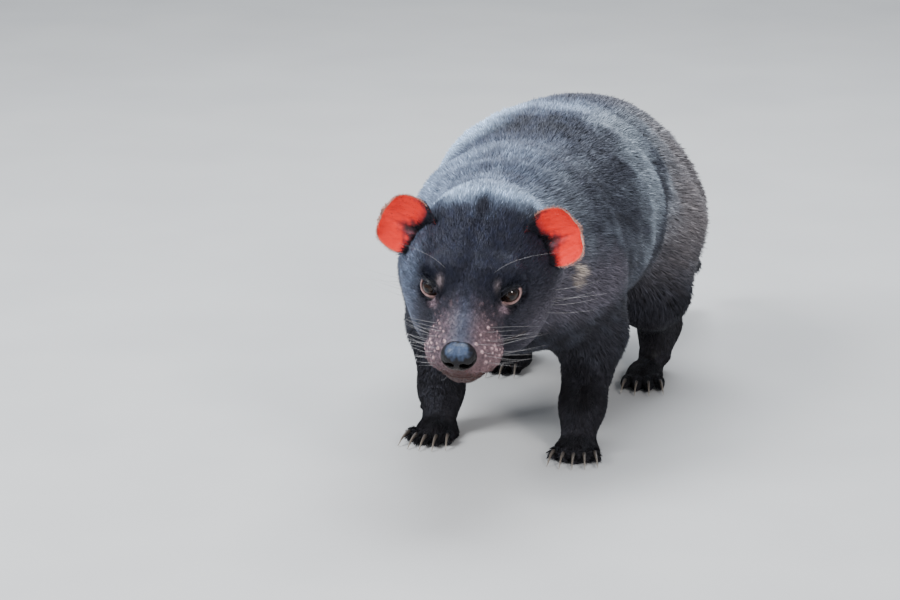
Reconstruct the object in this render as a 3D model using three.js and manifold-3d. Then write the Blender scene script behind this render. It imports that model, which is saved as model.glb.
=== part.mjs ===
// A Tasmanian devil, life size, standing on four feet with its head lowered and turned a little to its left.
// Millimetres, +Z up, floor at Z = 0. It faces -Y and its left side is +X.
// The outer surfaces are the tips of the coat. The flesh is one smooth field, meshed piece by piece and
// parted with thin cuts.
import * as THREE from "three";
import { mergeVertices } from "three/addons/utils/BufferGeometryUtils.js";
import Module from "manifold-3d";

const wasm = await Module();
wasm.setup();

// Driving sizes of the animal
const GAP = 0.3; // between pieces that touch
const BACK_HEIGHT = 279; // top of the back
const BELLY_HEIGHT = 80; // under the belly
const BODY_WIDTH = 217; // across the ribs
const HEAD_WIDTH = 144; // across the cheeks
const HEAD_YAW = 2; // degrees, nose to the animal's left
const HEAD_PITCH = 23; // degrees, nose down
const HEAD_ROLL = 3; // degrees, left cheek down
const HEAD_PLACE = [4, -196, 206]; // middle of the skull
const EYE_RADIUS = 8.5;
const SOLE = 0;

// Mesh sizes
const HEAD_CELL = [9, 9, 8.5];
const BODY_CELL = [17, 22, 17];
const LEG_CELL = [13.5, 13, 17];
const PAW_CELL = [10.5, 10.5, 10.5];
const TAIL_CELL = [10, 14, 10];

const MIDDLE_HEIGHT = (BACK_HEIGHT + BELLY_HEIGHT) / 2;
const HALF_DEPTH = (BACK_HEIGHT - BELLY_HEIGHT) / 2;
const HALF_WIDTH = BODY_WIDTH / 2;
const CHEEK = HEAD_WIDTH / 2;
const BACK_SPREAD = 10; // the back is broader than round by this to each side

const vector = (p) => new THREE.Vector3(...p);
const radians = THREE.MathUtils.degToRad;

// Signed distances, close to true near the surface, and the smooth join of two of them
function ellipsoid([x, y, z], [cx, cy, cz], [rx, ry, rz]) {
  const [dx, dy, dz] = [x - cx, y - cy, z - cz];
  const near = Math.hypot(dx / rx, dy / ry, dz / rz);
  const steep = Math.hypot(dx / rx ** 2, dy / ry ** 2, dz / rz ** 2);
  return steep > 0 ? (near * (near - 1)) / steep : -Math.min(rx, ry, rz);
}

function limb([x, y, z], [ax, ay, az], [bx, by, bz], startRadius, endRadius) {
  const [ux, uy, uz] = [bx - ax, by - ay, bz - az];
  const along = (x - ax) * ux + (y - ay) * uy + (z - az) * uz;
  const t = Math.min(1, Math.max(0, along / (ux * ux + uy * uy + uz * uz)));
  const radius = startRadius + t * (endRadius - startRadius);
  return Math.hypot(x - ax - t * ux, y - ay - t * uy, z - az - t * uz) - radius;
}

function chain(p, joints, radii, reach) {
  let d = Infinity;
  for (let i = 0; i + 1 < joints.length; i++) {
    d = blend(d, limb(p, joints[i], joints[i + 1], radii[i], radii[i + 1]), reach);
  }
  return d;
}

function blend(a, b, reach) {
  const share = Math.max(reach - Math.abs(a - b), 0) / reach;
  return Math.min(a, b) - (share * share * reach) / 4;
}

// The spine swings to the animal's left towards the hips
const SWING_FROM = -60;
const SWING_LENGTH = 250;
const HIP_SWING = 22;
const SPINE_SIDE = 3; // the whole spine lies this far to the left of the head's middle
const swing = (y) => SPINE_SIDE + HIP_SWING * (Math.max(0, y - SWING_FROM) / SWING_LENGTH) ** 2;

function torsoField([x, y, z]) {
  const p = [Math.abs(x - swing(y)), y, z];
  let d = ellipsoid(p, [BACK_SPREAD, 74, MIDDLE_HEIGHT], [HALF_WIDTH - BACK_SPREAD, 146, HALF_DEPTH]);
  d = blend(d, ellipsoid(p, [0, -58, MIDDLE_HEIGHT - 5], [82, 100, 88]), 50);
  d = blend(d, ellipsoid(p, [0, 178, MIDDLE_HEIGHT - 4], [86, 90, 88]), 50);
  d = blend(d, ellipsoid(p, [52, -62, MIDDLE_HEIGHT - 12], [33, 56, 68]), 30);
  d = blend(d, ellipsoid(p, [60, 172, MIDDLE_HEIGHT - 32], [42, 66, 74]), 34);
  return d;
}

// The head in its own frame: x to its left, y back, z up, origin in the middle of the skull
function headField([x, y, z]) {
  const p = [Math.abs(x), y, z];
  let d = ellipsoid(p, [0, 0, -8], [54, 58, 42]);
  d = blend(d, ellipsoid(p, [CHEEK - 39, -2, -18], [37, 50, 36]), 22);
  d = blend(d, ellipsoid(p, [25, -22, -45], [32, 44, 30]), 20);
  d = blend(d, limb(p, [0, -44, -12], [0, -99, -29], 36, 22.5), 20);
  d = blend(d, ellipsoid(p, [17, -91, -32], [16, 21, 16]), 10);
  d = blend(d, limb(p, [0, -26, -46], [2, -93, -49], 30, 15), 12);
  d = blend(d, ellipsoid(p, [25, -46, 12], [18, 16, 12]), 14);
  return d;
}

const headMatrix = new THREE.Matrix4()
  .makeRotationFromEuler(
    new THREE.Euler(radians(HEAD_PITCH), radians(HEAD_ROLL), radians(HEAD_YAW), "ZXY"),
  )
  .setPosition(...HEAD_PLACE);
const headInverse = headMatrix.clone().invert();
const fromHead = (p) => vector(p).applyMatrix4(headMatrix).toArray();
const toHead = (p) => vector(p).applyMatrix4(headInverse).toArray();

const neckStart = [0, -84, MIDDLE_HEIGHT];
const neckEnd = fromHead([0, 34, -12]);

// Each leg's joints from shoulder or hip to the wrist or ankle, and where its foot stands
function leg(side, front, footY) {
  const at = (x, y, z) => [side * x + swing(y), y, z];
  return front
    ? {
        name: side > 0 ? "left_fore" : "right_fore",
        joints: [at(60, -58, 150), at(70, -42, 100), at(68, footY + 16, 40), at(67, footY + 8, 22)],
        radii: [40, 31, 19, 17],
        foot: at(67, footY - 6, SOLE),
        palm: [21, 27, 22],
        toes: 5,
        turn: side * 6,
      }
    : {
        name: side > 0 ? "left_hind" : "right_hind",
        joints: [at(64, 168, 145), at(78, 140, 92), at(72, footY + 34, 48), at(70, footY + 30, 20)],
        radii: [56, 36, 19, 16],
        foot: at(69, footY, SOLE),
        palm: [18, 38, 19],
        toes: 4,
        turn: side * 8,
      };
}

const legs = [leg(1, true, -92), leg(-1, true, -66), leg(1, false, 150), leg(-1, false, 178)];

// The tail runs back and down in a flat arch, thick at its root
const TAIL_ROOT = [26, 214, 196];
const TAIL_REACH = [66, 200, -150]; // from its root to its tip
const TAIL_BOW = [4, 8, 22]; // how far it bends off the straight line, the last mostly near its root
const TAIL_RADIUS = 44;
const TAIL_TIP_RADIUS = 8;
const TAIL_STEPS = 10;
const tailShares = Array.from({ length: TAIL_STEPS + 1 }, (_, i) => i / TAIL_STEPS);
const tailJoints = tailShares.map((t) => {
  const bend = Math.sin(Math.PI * t);
  const [across, back, up] = TAIL_BOW;
  const bow = [across * bend, back * bend, up * bend * (1 - t)];
  return TAIL_ROOT.map((v, axis) => v + TAIL_REACH[axis] * t + bow[axis]);
});
const tailRadii = tailShares.map((t) => TAIL_TIP_RADIUS + (TAIL_RADIUS - TAIL_TIP_RADIUS) * (1 - t) ** 1.1);

function legsField(p) {
  let d = Infinity;
  for (const { joints, radii, foot, palm } of legs) {
    let one = chain(p, joints, radii, 14);
    one = blend(one, ellipsoid(p, foot, palm), 10);
    d = Math.min(d, one);
  }
  return d;
}

function fleshField(p) {
  let d = torsoField(p);
  d = blend(d, limb(p, neckStart, neckEnd, 80, 54), 40);
  d = blend(d, headField(toHead(p)), 30);
  d = blend(d, legsField(p), 30);
  d = blend(d, chain(p, tailJoints, tailRadii, 2), 30);
  return d;
}

// Solids from meshes and back
function solid(geometry, matrix = new THREE.Matrix4()) {
  const flat = geometry.index ? geometry.toNonIndexed() : geometry.clone();
  const bare = new THREE.BufferGeometry()
    .setAttribute("position", flat.getAttribute("position"))
    .applyMatrix4(matrix);
  const merged = mergeVertices(bare, 1e-4);
  return new wasm.Manifold(
    new wasm.Mesh({
      numProp: 3,
      vertProperties: merged.attributes.position.array,
      triVerts: new Uint32Array(merged.index.array),
    }),
  );
}

function largest(made) {
  return made.decompose().reduce((a, b) => (b.volume() > a.volume() ? b : a));
}

// Closes the surface of a field inside a box, one vertex in each crossed cell, drawn onto the surface
function fieldGeometry(field, low, high, cell, place = new THREE.Matrix4()) {
  const count = low.map((v, i) => Math.ceil((high[i] - v) / cell[i]) + 1);
  const at = (i, j, k) => (k * count[1] + j) * count[0] + i;
  const value = new Float64Array(count[0] * count[1] * count[2]);
  for (let k = 0; k < count[2]; k++)
    for (let j = 0; j < count[1]; j++)
      for (let i = 0; i < count[0]; i++) {
        const rim = [i, j, k].some((n, axis) => n === 0 || n === count[axis] - 1);
        const d = field([low[0] + i * cell[0], low[1] + j * cell[1], low[2] + k * cell[2]]);
        value[at(i, j, k)] = rim ? Math.max(d, cell[0] / 4) : d;
      }
  const step = [1, count[0], count[0] * count[1]];
  const vertex = new Map();
  const positions = [];
  for (let k = 0; k + 1 < count[2]; k++)
    for (let j = 0; j + 1 < count[1]; j++)
      for (let i = 0; i + 1 < count[0]; i++) {
        const found = cellVertex(value, at(i, j, k), step);
        if (!found) continue;
        const p = [i, j, k].map((n, axis) => low[axis] + (n + found[axis]) * cell[axis]);
        vertex.set(at(i, j, k), positions.length);
        positions.push(drawnTo(field, p, cell[0]));
      }
  const points = [];
  for (const [corner] of vertex)
    for (let axis = 0; axis < 3; axis++) {
      const [a, b] = [value[corner], value[corner + step[axis]]];
      if (a < 0 === b < 0) continue;
      const [u, v] = [step[(axis + 1) % 3], step[(axis + 2) % 3]];
      const ring = [corner, corner - u, corner - u - v, corner - v].map((c) => positions[vertex.get(c)]);
      if (ring.includes(undefined)) continue;
      const [p, q, r, s] = a < 0 ? ring : ring.reverse();
      points.push(...p, ...q, ...r, ...p, ...r, ...s);
    }
  return new THREE.BufferGeometry()
    .setAttribute("position", new THREE.BufferAttribute(new Float32Array(points), 3))
    .applyMatrix4(place);
}

// The mean of the places where the surface crosses a cell's edges, from 0 to 1 along each axis
function cellVertex(value, corner, step) {
  const sum = [0, 0, 0];
  let crossings = 0;
  for (let axis = 0; axis < 3; axis++)
    for (let n = 0; n < 4; n++) {
      const [u, v] = [(axis + 1) % 3, (axis + 2) % 3];
      const offset = [0, 0, 0];
      offset[u] = n & 1;
      offset[v] = n >> 1;
      const from = corner + offset[0] * step[0] + offset[1] * step[1] + offset[2] * step[2];
      const [a, b] = [value[from], value[from + step[axis]]];
      if (a < 0 === b < 0) continue;
      offset[axis] = a / (a - b);
      offset.forEach((o, i) => (sum[i] += o));
      crossings += 1;
    }
  return crossings ? sum.map((s) => s / crossings) : null;
}

function slope(field, p) {
  const h = 0.05;
  return p.map((_, i) => {
    const [a, b] = [[...p], [...p]];
    a[i] -= h;
    b[i] += h;
    return (field(b) - field(a)) / (2 * h);
  });
}

function drawnTo(field, p, cell) {
  const q = [...p];
  for (let turn = 0; turn < 3; turn++) {
    const d = field(q);
    if (Math.abs(d) > cell / 3) return q;
    const g = slope(field, q);
    const steep = Math.max(0.2, g[0] ** 2 + g[1] ** 2 + g[2] ** 2);
    q.forEach((_, i) => (q[i] -= (d * g[i]) / steep));
  }
  return q;
}

// Where a ray from inside a field leaves it
function surfacePoint(field, from, direction) {
  const unit = vector(direction).normalize();
  let far = 0;
  for (let turn = 0; turn < 60; turn++) {
    const d = field(vector(from).addScaledVector(unit, far).toArray());
    if (Math.abs(d) < 0.01) break;
    far -= d * 0.9;
  }
  return vector(from).addScaledVector(unit, far).toArray();
}

// A tube with rounded ends along a path, whose radius follows the share of the way along
function taperedTube(path, radiusAt, sides) {
  const rings = path.length - 1;
  const geometry = new THREE.SphereGeometry(1, sides, rings);
  const position = geometry.getAttribute("position");
  const curve = path.map(vector);
  const frames = curve.map((p, i) => {
    const along = curve[Math.min(i + 1, rings)].clone().sub(curve[Math.max(i - 1, 0)]).normalize();
    const side = Math.abs(along.z) > 0.9 ? new THREE.Vector3(1, 0, 0) : new THREE.Vector3(0, 0, 1);
    side.cross(along).normalize();
    return { p, side, up: along.clone().cross(side) };
  });
  for (let i = 0; i < position.count; i++) {
    const ring = Math.floor(i / (sides + 1));
    const angle = ((i % (sides + 1)) % sides) * ((2 * Math.PI) / sides);
    const { p, side, up } = frames[ring];
    const r = ring === 0 || ring === rings ? 0 : radiusAt(ring / rings);
    const q = p.clone().addScaledVector(side, r * Math.cos(angle)).addScaledVector(up, -r * Math.sin(angle));
    position.setXYZ(i, q.x, q.y, q.z);
  }
  return geometry;
}

const tubeSolid = (path, radiusAt, sides) => solid(taperedTube(path, radiusAt, sides));

function box(low, high, matrix = new THREE.Matrix4()) {
  const size = high.map((v, i) => v - low[i]);
  const middle = high.map((v, i) => (v + low[i]) / 2);
  return solid(new THREE.BoxGeometry(...size).translate(...middle), matrix);
}

// Materials
const look = (color, roughness) => new THREE.MeshStandardMaterial({ color, roughness, metalness: 0 });
const coat = look(0x1a1c22, 0.6);
const faceSkin = look(0x221c22, 0.55);
const earSkin = look(0xd8281a, 0.6);
const eyeGloss = look(0x120806, 0.08);
const noseSkin = look(0x15161a, 0.25);
const soleSkin = look(0x2a2224, 0.7);
const horn = look(0x5a4a42, 0.4);

const model = new THREE.Group();

// Edges left shorter than this by a cut are drawn together, where that keeps the surface closed
const TINY = 0.15;

function withoutTinyEdges({ vertProperties, triVerts }) {
  const count = triVerts.length / 3;
  const faces = Array.from({ length: count }, (_, i) => [...triVerts.subarray(3 * i, 3 * i + 3)]);
  const around = new Map();
  faces.forEach((face) => face.forEach((v) => around.set(v, (around.get(v) ?? new Set()).add(face))));
  const apart = (a, b) =>
    Math.hypot(...[0, 1, 2].map((axis) => vertProperties[3 * a + axis] - vertProperties[3 * b + axis]));
  const beside = (v) => new Set([...around.get(v)].flat().filter((other) => other !== v));
  for (const face of faces) {
    const [a, b] = [face, [face[1], face[2]], [face[2], face[0]]].find(([u, v]) => apart(u, v) < TINY) ?? [];
    if (a === undefined || !around.get(a).has(face)) continue;
    const shared = [...beside(a)].filter((v) => beside(b).has(v));
    if (shared.length !== 2) continue;
    for (const one of around.get(b)) {
      if (one.includes(a)) {
        one.forEach((v) => around.get(v).delete(one));
        one.length = 0;
      } else {
        one[one.indexOf(b)] = a;
        around.get(a).add(one);
      }
    }
  }
  return faces.flat();
}

function add(name, made, material) {
  const mesh = largest(made).getMesh();
  const geometry = new THREE.BufferGeometry()
    .setAttribute("position", new THREE.BufferAttribute(new Float32Array(mesh.vertProperties), 3))
    .setIndex(withoutTinyEdges(mesh));
  const piece = new THREE.Mesh(geometry, material);
  piece.name = name;
  model.add(piece);
  return piece;
}

// Where the body is parted
const HEAD_END = 36; // behind the skull's middle, in the head's frame
const NECK_END = -112;
const HEAD_ROOM = 94; // to each side of the skull's middle and below it
function headZone(grow) {
  const reach = HEAD_ROOM + grow;
  return box([-reach, -200, -reach], [reach, HEAD_END + grow, 150], headMatrix);
}
const frontZone = (grow) => box([-200, -420, 60], [200, NECK_END + grow, 400]);

function legZone({ name, foot }, grow) {
  const side = name.startsWith("left") ? 1 : -1;
  const front = name.endsWith("fore");
  const tilt = new THREE.Matrix4().makeRotationY(-side * radians(38));
  tilt.setPosition(foot[0] - side * 20, foot[1] + (front ? 20 : 10), front ? 108 : 112);
  const [reachBack, reachFront] = front ? [78, 90] : [90, 92];
  const under = box([-200, -reachFront - grow, -260], [200, reachBack + grow, grow], tilt);
  const middle = swing(foot[1]);
  const half =
    side > 0
      ? [[middle + 6, -300, -20], [260, 400, 260]]
      : [[-260, -300, -20], [middle - 6, 400, 260]];
  return under.intersect(box(...half));
}

const TAIL_CUT = 2.2; // in steps of the tail
const UP = new THREE.Vector3(0, 0, 1);
const tailTurn = new THREE.Matrix4().lookAt(vector(tailJoints[3]), vector(tailJoints[0]), UP);
const tailZone = (grow) => {
  const [from, next] = tailJoints;
  const place = tailTurn.clone().setPosition(...from.map((v, i) => v + (next[i] - v) * TAIL_CUT));
  return box([-62, -60, -grow], [62, 90, 400], place);
};

// Head: skull and jaws, with lids round the eyes, a mouth line between lips, and room for eyes and nose
const EYE_FROM = [24, -34, -1.5];
const EYE_WAY = [0.42, -0.86, 0.16];
const EYE_STANDS_OUT = 1.2;

function eyePlace(side) {
  const way = vector(EYE_WAY).normalize();
  const seen = vector(surfacePoint(headField, EYE_FROM, EYE_WAY));
  const centre = seen.addScaledVector(way, EYE_STANDS_OUT - EYE_RADIUS);
  return { centre: [side * centre.x, centre.y, centre.z], way: [side * way.x, way.y, way.z] };
}

function ball(centre, radii, across = 14, down = 10, turn = [0, 0, 0]) {
  const matrix = new THREE.Matrix4().compose(
    vector(centre),
    new THREE.Quaternion().setFromEuler(new THREE.Euler(...turn)),
    vector(radii),
  );
  return solid(new THREE.SphereGeometry(1, across, down), headMatrix.clone().multiply(matrix));
}

// An almond seen along the eye's way, wider than tall, with its inner corner low
function lidOpening(side) {
  const { centre, way } = eyePlace(side);
  const [wide, tall] = [8, 5.2];
  const almond = new THREE.Shape();
  almond.moveTo(-wide, 0);
  almond.quadraticCurveTo(0, 2 * tall - 1.4, wide, 0);
  almond.quadraticCurveTo(0, -2 * tall, -wide, 0);
  const prism = new THREE.ExtrudeGeometry(almond, { depth: 30, bevelEnabled: false, curveSegments: 6 });
  const turn = new THREE.Matrix4().lookAt(vector(way), new THREE.Vector3(), new THREE.Vector3(0, 0, 1));
  turn.multiply(new THREE.Matrix4().makeRotationZ(side * radians(26)));
  turn.setPosition(...centre);
  return solid(prism, headMatrix.clone().multiply(turn));
}

const LIP_FROM = [0, -60, -39];
const MOUTH_TURN = 98; // degrees from the nose round to the corner of the mouth

function mouthPath(lift, sink) {
  const steps = 20;
  return Array.from({ length: steps + 1 }, (_, i) => {
    const t = (2 * i) / steps - 1;
    const a = radians(MOUTH_TURN * t);
    const way = [Math.sin(a), -Math.cos(a), 0];
    const from = [LIP_FROM[0], LIP_FROM[1], LIP_FROM[2] + lift - 4 * (1 - Math.abs(t))];
    return fromHead(surfacePoint((p) => headField(p) + sink, from, way));
  });
}

const LIP = 2.6;
const lipRadius = (t) => LIP * (0.25 + 0.75 * Math.sin(Math.PI * t));
const lipTube = (lift) => tubeSolid(mouthPath(lift, 0.9), lipRadius, 5);
const mouthGroove = tubeSolid(mouthPath(0, 0.2), () => 1.5, 5);

const NOSE = { centre: [0, -116, -20.5], radii: [15.5, 12, 12.5], tilt: -0.25 };
const noseBall = (grow) => ball(NOSE.centre, NOSE.radii.map((r) => r + grow), 16, 10, [NOSE.tilt, 0, 0]);

function headFlesh(grow) {
  const field = (p) => fleshField(fromHead(p)) - grow;
  return solid(fieldGeometry(field, [-115, -140, -115], [115, 56, 72], HEAD_CELL, headMatrix));
}

let head = headFlesh(0).intersect(headZone(0));
for (const side of [1, -1]) {
  const { centre } = eyePlace(side);
  head = head.add(ball(centre, [11, 11, 10.4]));
}
head = head.add(lipTube(LIP)).add(lipTube(-LIP)).subtract(mouthGroove);
for (const side of [1, -1]) {
  const { centre } = eyePlace(side);
  const room = EYE_RADIUS + GAP;
  head = head.subtract(ball(centre, [room, room, room])).subtract(lidOpening(side));
}
head = head.subtract(noseBall(GAP));
add("head", head, faceSkin);

for (const side of [1, -1]) {
  const { centre } = eyePlace(side);
  const name = side > 0 ? "left_eye" : "right_eye";
  add(name, ball(centre, [EYE_RADIUS, EYE_RADIUS, EYE_RADIUS]), eyeGloss);
}

// Nose pad with two comma-shaped nostrils and the groove between them
const onNose = ([x, y, z]) => fromHead([x, NOSE.centre[1] + y, NOSE.centre[2] + z]);
let nose = noseBall(0);
for (const side of [1, -1]) {
  const path = [
    [side * 4.6, -16.5, -2.6],
    [side * 5.8, -10.5, -3.6],
    [side * 8.6, -7, -4],
    [side * 13, -4.5, -2],
    [side * 18, -0.5, 0.6],
  ].map(onNose);
  nose = nose.subtract(tubeSolid(path, (t) => 3.4 - 2.2 * t, 8));
}
const philtrum = [[0, -18.5, -5], [0, -12.5, -5], [0, -10, -10], [0, -5.5, -15]].map(onNose);
nose = nose.subtract(tubeSolid(philtrum, () => 1, 6));
add("nose", nose, noseSkin);

// Ears: a cupped leaf, thin at the rim
const EAR = { root: [51, 0, 18], reach: 48, half: 24.5, cup: 11, thick: 2.6 };
const EAR_OUT = vector([0.9, 0.12, 0.42]).normalize();
const EAR_FRONT = vector([0.3, -0.82, 0.42]);
EAR_FRONT.addScaledVector(EAR_OUT, -EAR_FRONT.dot(EAR_OUT)).normalize();
const EAR_UP = EAR_FRONT.clone().cross(EAR_OUT);

// Half the leaf's width at a share of the way from its root to its tip, which is nearly square
function earHalf(t) {
  const widening = 0.42 + 0.66 * Math.sin((Math.PI / 2) * Math.min(1, t / 0.55));
  return EAR.half * widening * Math.sqrt(1 - t ** 7);
}

function earPoint(side, t, v, deep) {
  const width = earHalf(t) * v;
  const hollow = EAR.cup * (1 - v * v) * (1 - 0.55 * t) + deep * (1 - 0.35 * t);
  const p = vector(EAR.root)
    .addScaledVector(EAR_OUT, EAR.reach * t - 10)
    .addScaledVector(EAR_UP, width)
    .addScaledVector(EAR_FRONT, EAR.cup * 0.5 - hollow);
  return fromHead([side * p.x, p.y, p.z]);
}

const EAR_END = 0.99;

function earGeometry(side) {
  const [rows, columns] = [7, 9];
  const points = [];
  const grid = (deep) =>
    Array.from({ length: rows + 1 }, (_, i) =>
      Array.from({ length: columns + 1 }, (_, j) => {
        const t = Math.sin((i / rows) * (Math.PI / 2)) * EAR_END;
        return earPoint(side, t, (2 * j) / columns - 1, deep);
      }),
    );
  const [front, back] = [grid(0), grid(EAR.thick)];
  const quad = (a, b, c, d) => points.push(...a, ...b, ...c, ...a, ...c, ...d);
  for (let i = 0; i < rows; i++)
    for (let j = 0; j < columns; j++) {
      quad(front[i][j], front[i][j + 1], front[i + 1][j + 1], front[i + 1][j]);
      quad(back[i][j], back[i + 1][j], back[i + 1][j + 1], back[i][j + 1]);
    }
  for (let j = 0; j < columns; j++) {
    quad(front[0][j + 1], front[0][j], back[0][j], back[0][j + 1]);
    quad(front[rows][j], front[rows][j + 1], back[rows][j + 1], back[rows][j]);
  }
  for (let i = 0; i < rows; i++) {
    quad(front[i][0], front[i + 1][0], back[i + 1][0], back[i][0]);
    quad(front[i + 1][columns], front[i][columns], back[i][columns], back[i + 1][columns]);
  }
  const array = new Float32Array(points);
  const geometry = new THREE.BufferGeometry().setAttribute("position", new THREE.BufferAttribute(array, 3));
  return side > 0 ? geometry : mirrored(geometry);
}

// The same faces turned to point the other way
function mirrored(geometry) {
  const p = geometry.getAttribute("position");
  const turned = [];
  for (let i = 0; i < p.count; i += 3) {
    for (const n of [i, i + 2, i + 1]) turned.push(p.getX(n), p.getY(n), p.getZ(n));
  }
  const array = new Float32Array(turned);
  return new THREE.BufferGeometry().setAttribute("position", new THREE.BufferAttribute(array, 3));
}

// Neck and torso
// Both come from one grid, so that they meet without a step
const TORSO_LOW = [-150, -162, 60];
const NECK_LOW = [TORSO_LOW[0] + BODY_CELL[0], TORSO_LOW[1] - 5 * BODY_CELL[1], TORSO_LOW[2]];
const NECK_HIGH = [140, -70, 310];
const neckFlesh = (grow) =>
  solid(fieldGeometry((p) => fleshField(p) - grow, NECK_LOW, NECK_HIGH, BODY_CELL));
let neck = neckFlesh(0).intersect(frontZone(0)).subtract(headZone(GAP));
for (const one of legs) neck = neck.subtract(legZone(one, GAP));
add("neck", neck, coat);

const EAR_GAP = 0.6; // the faceted skull bulges past its field by less than this
const headRoom = headFlesh(EAR_GAP);
const neckRoom = neckFlesh(EAR_GAP);
for (const side of [1, -1]) {
  let made = solid(earGeometry(side));
  if (made.volume() < 0) made = solid(mirrored(earGeometry(side)));
  made = made.subtract(headRoom).subtract(neckRoom);
  add(side > 0 ? "left_ear" : "right_ear", made, earSkin);
}

let torso = solid(fieldGeometry(fleshField, TORSO_LOW, [170, 300, 310], BODY_CELL)).subtract(frontZone(GAP));
for (const one of legs) torso = torso.subtract(legZone(one, GAP));
torso = torso.subtract(tailZone(GAP));
add("torso", torso, coat);

const TAIL_LOW = [-30, 220, 20];
const TAIL_HIGH = [150, 450, 250];
const tail = solid(fieldGeometry(fleshField, TAIL_LOW, TAIL_HIGH, TAIL_CELL)).intersect(tailZone(0));
add("tail", tail, coat);

// Legs, feet and claws
const WRIST = 36;
for (const one of legs) {
  const front = one.name.endsWith("fore");
  const [fx, fy] = one.foot;
  const low = [fx - 94, fy - 118, -15];
  const high = [fx + 94, fy + 140, 190];
  const above = box([-300, -300, WRIST + GAP], [300, 500, 300]);
  const limbFlesh = solid(fieldGeometry(fleshField, low, high, LEG_CELL)).intersect(legZone(one, 0));
  add(one.name + "_leg", limbFlesh.intersect(above).subtract(headZone(GAP)).subtract(tailZone(GAP)), coat);

  const turn = new THREE.Matrix4().makeRotationZ(radians(one.turn)).setPosition(fx, fy, SOLE);
  const toeSpread = front ? 34 : 30;
  const reach = front ? 23 : 36;
  const toes = Array.from({ length: one.toes }, (_, i) => {
    const across = one.toes > 1 ? (2 * i) / (one.toes - 1) - 1 : 0;
    const length = front ? [11, 14, 15, 14, 11][i] : [11.7, 14, 14.6, 12.4][i];
    const place = new THREE.Matrix4().compose(
      new THREE.Vector3((across * toeSpread) / 2, -reach + 5 * across * across, 6.4),
      new THREE.Quaternion().setFromEuler(new THREE.Euler(0.1, 0, across * 0.22)),
      new THREE.Vector3(5.6, length, 6.6),
    );
    return { place: turn.clone().multiply(place), across, length };
  });
  const aboveFloor = box([-300, -300, SOLE], [300, 500, WRIST]);
  let paw = solid(fieldGeometry(fleshField, low, [high[0], high[1], WRIST + 20], PAW_CELL));
  for (const { place } of toes) paw = paw.add(solid(new THREE.SphereGeometry(1, 8, 6), place));
  paw = paw.intersect(aboveFloor);
  add(one.name + "_paw", paw, soleSkin);

  toes.forEach(({ place, across, length }, i) => {
    const tip = front ? 15 : 12;
    const path = Array.from({ length: 6 }, (_, n) => {
      const t = n / 5;
      const y = -0.55 - (t * (tip + 5)) / length;
      const z = 0.3 + 0.28 * Math.sin(Math.PI * (0.25 + 0.75 * t)) - 0.85 * t * t;
      return new THREE.Vector3(0, y, z).applyMatrix4(place).toArray();
    });
    const claw = tubeSolid(path, (t) => 2.3 * (1 - 0.82 * t), 5)
      .subtract(paw)
      .subtract(solid(new THREE.SphereGeometry(1 + GAP / 6, 8, 6), place))
      .subtract(box([-400, -400, -40], [400, 600, SOLE + 0.6]));
    add(`${one.name}_claw_${i + 1}`, claw, horn);
  });
}

// The floor's origin lies under the middle of the whole animal
const whole = new THREE.Box3().setFromObject(model);
const middle = whole.getCenter(new THREE.Vector3());
model.position.set(-middle.x, -middle.y, -whole.min.z);

export default model;
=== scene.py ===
"""Looks of a life-size Tasmanian devil: skin, coat, face, ears, eyes, whiskers, claws, light and camera.

The flesh is the same smooth field as the solids', in millimetres, with the same named sizes. The skin lies
inside it by the depth of the coat, and the tips of the coat reach it again.
"""

import math

import bmesh
import bpy
import numpy as np
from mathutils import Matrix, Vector


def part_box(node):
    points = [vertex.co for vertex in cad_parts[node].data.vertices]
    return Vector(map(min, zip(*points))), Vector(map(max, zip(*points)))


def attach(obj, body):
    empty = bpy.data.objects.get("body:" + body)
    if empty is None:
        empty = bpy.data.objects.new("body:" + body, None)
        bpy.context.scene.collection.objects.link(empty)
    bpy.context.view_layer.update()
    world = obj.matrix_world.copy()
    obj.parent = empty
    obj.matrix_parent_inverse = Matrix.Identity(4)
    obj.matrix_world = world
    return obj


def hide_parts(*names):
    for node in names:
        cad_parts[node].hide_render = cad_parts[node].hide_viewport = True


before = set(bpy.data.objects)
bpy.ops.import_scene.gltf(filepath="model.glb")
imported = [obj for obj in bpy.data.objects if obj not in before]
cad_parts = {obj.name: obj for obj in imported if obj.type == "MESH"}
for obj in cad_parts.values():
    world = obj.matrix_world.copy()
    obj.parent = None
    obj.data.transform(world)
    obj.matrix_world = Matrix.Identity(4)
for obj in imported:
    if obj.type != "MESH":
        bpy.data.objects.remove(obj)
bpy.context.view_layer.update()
rng = np.random.default_rng(7)

PER_METRE = 1000

# Sizes in millimetres and degrees, the same as the solids'
BACK_HEIGHT = 279
BELLY_HEIGHT = 80
BODY_WIDTH = 217
HEAD_WIDTH = 144
HEAD_YAW = 2
HEAD_PITCH = 23
HEAD_ROLL = 3
HEAD_PLACE = np.array([4.0, -196, 206])
EYE_RADIUS = 8.5
HIP_SWING = 22
SPINE_SIDE = 3
SWING_FROM = -60
SWING_LENGTH = 250
MIDDLE = (BACK_HEIGHT + BELLY_HEIGHT) / 2
HALF_DEPTH = (BACK_HEIGHT - BELLY_HEIGHT) / 2
CHEEK = HEAD_WIDTH / 2
BACK_SPREAD = 10


# Signed distances, on arrays of points
def length(v):
    return np.sqrt((v * v).sum(-1))


def unit(v):
    return v / np.maximum(length(v), 1e-9)[..., None]


def dot(a, b):
    return (a * b).sum(-1)


def smooth(x, low, high):
    t = np.clip((x - low) / (high - low), 0, 1)
    return t * t * (3 - 2 * t)


def fade(x, low, high):
    return 1 - smooth(x, low, high)


def hump(x, middle, width):
    return np.exp(-(((x - middle) / width) ** 2))


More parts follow.
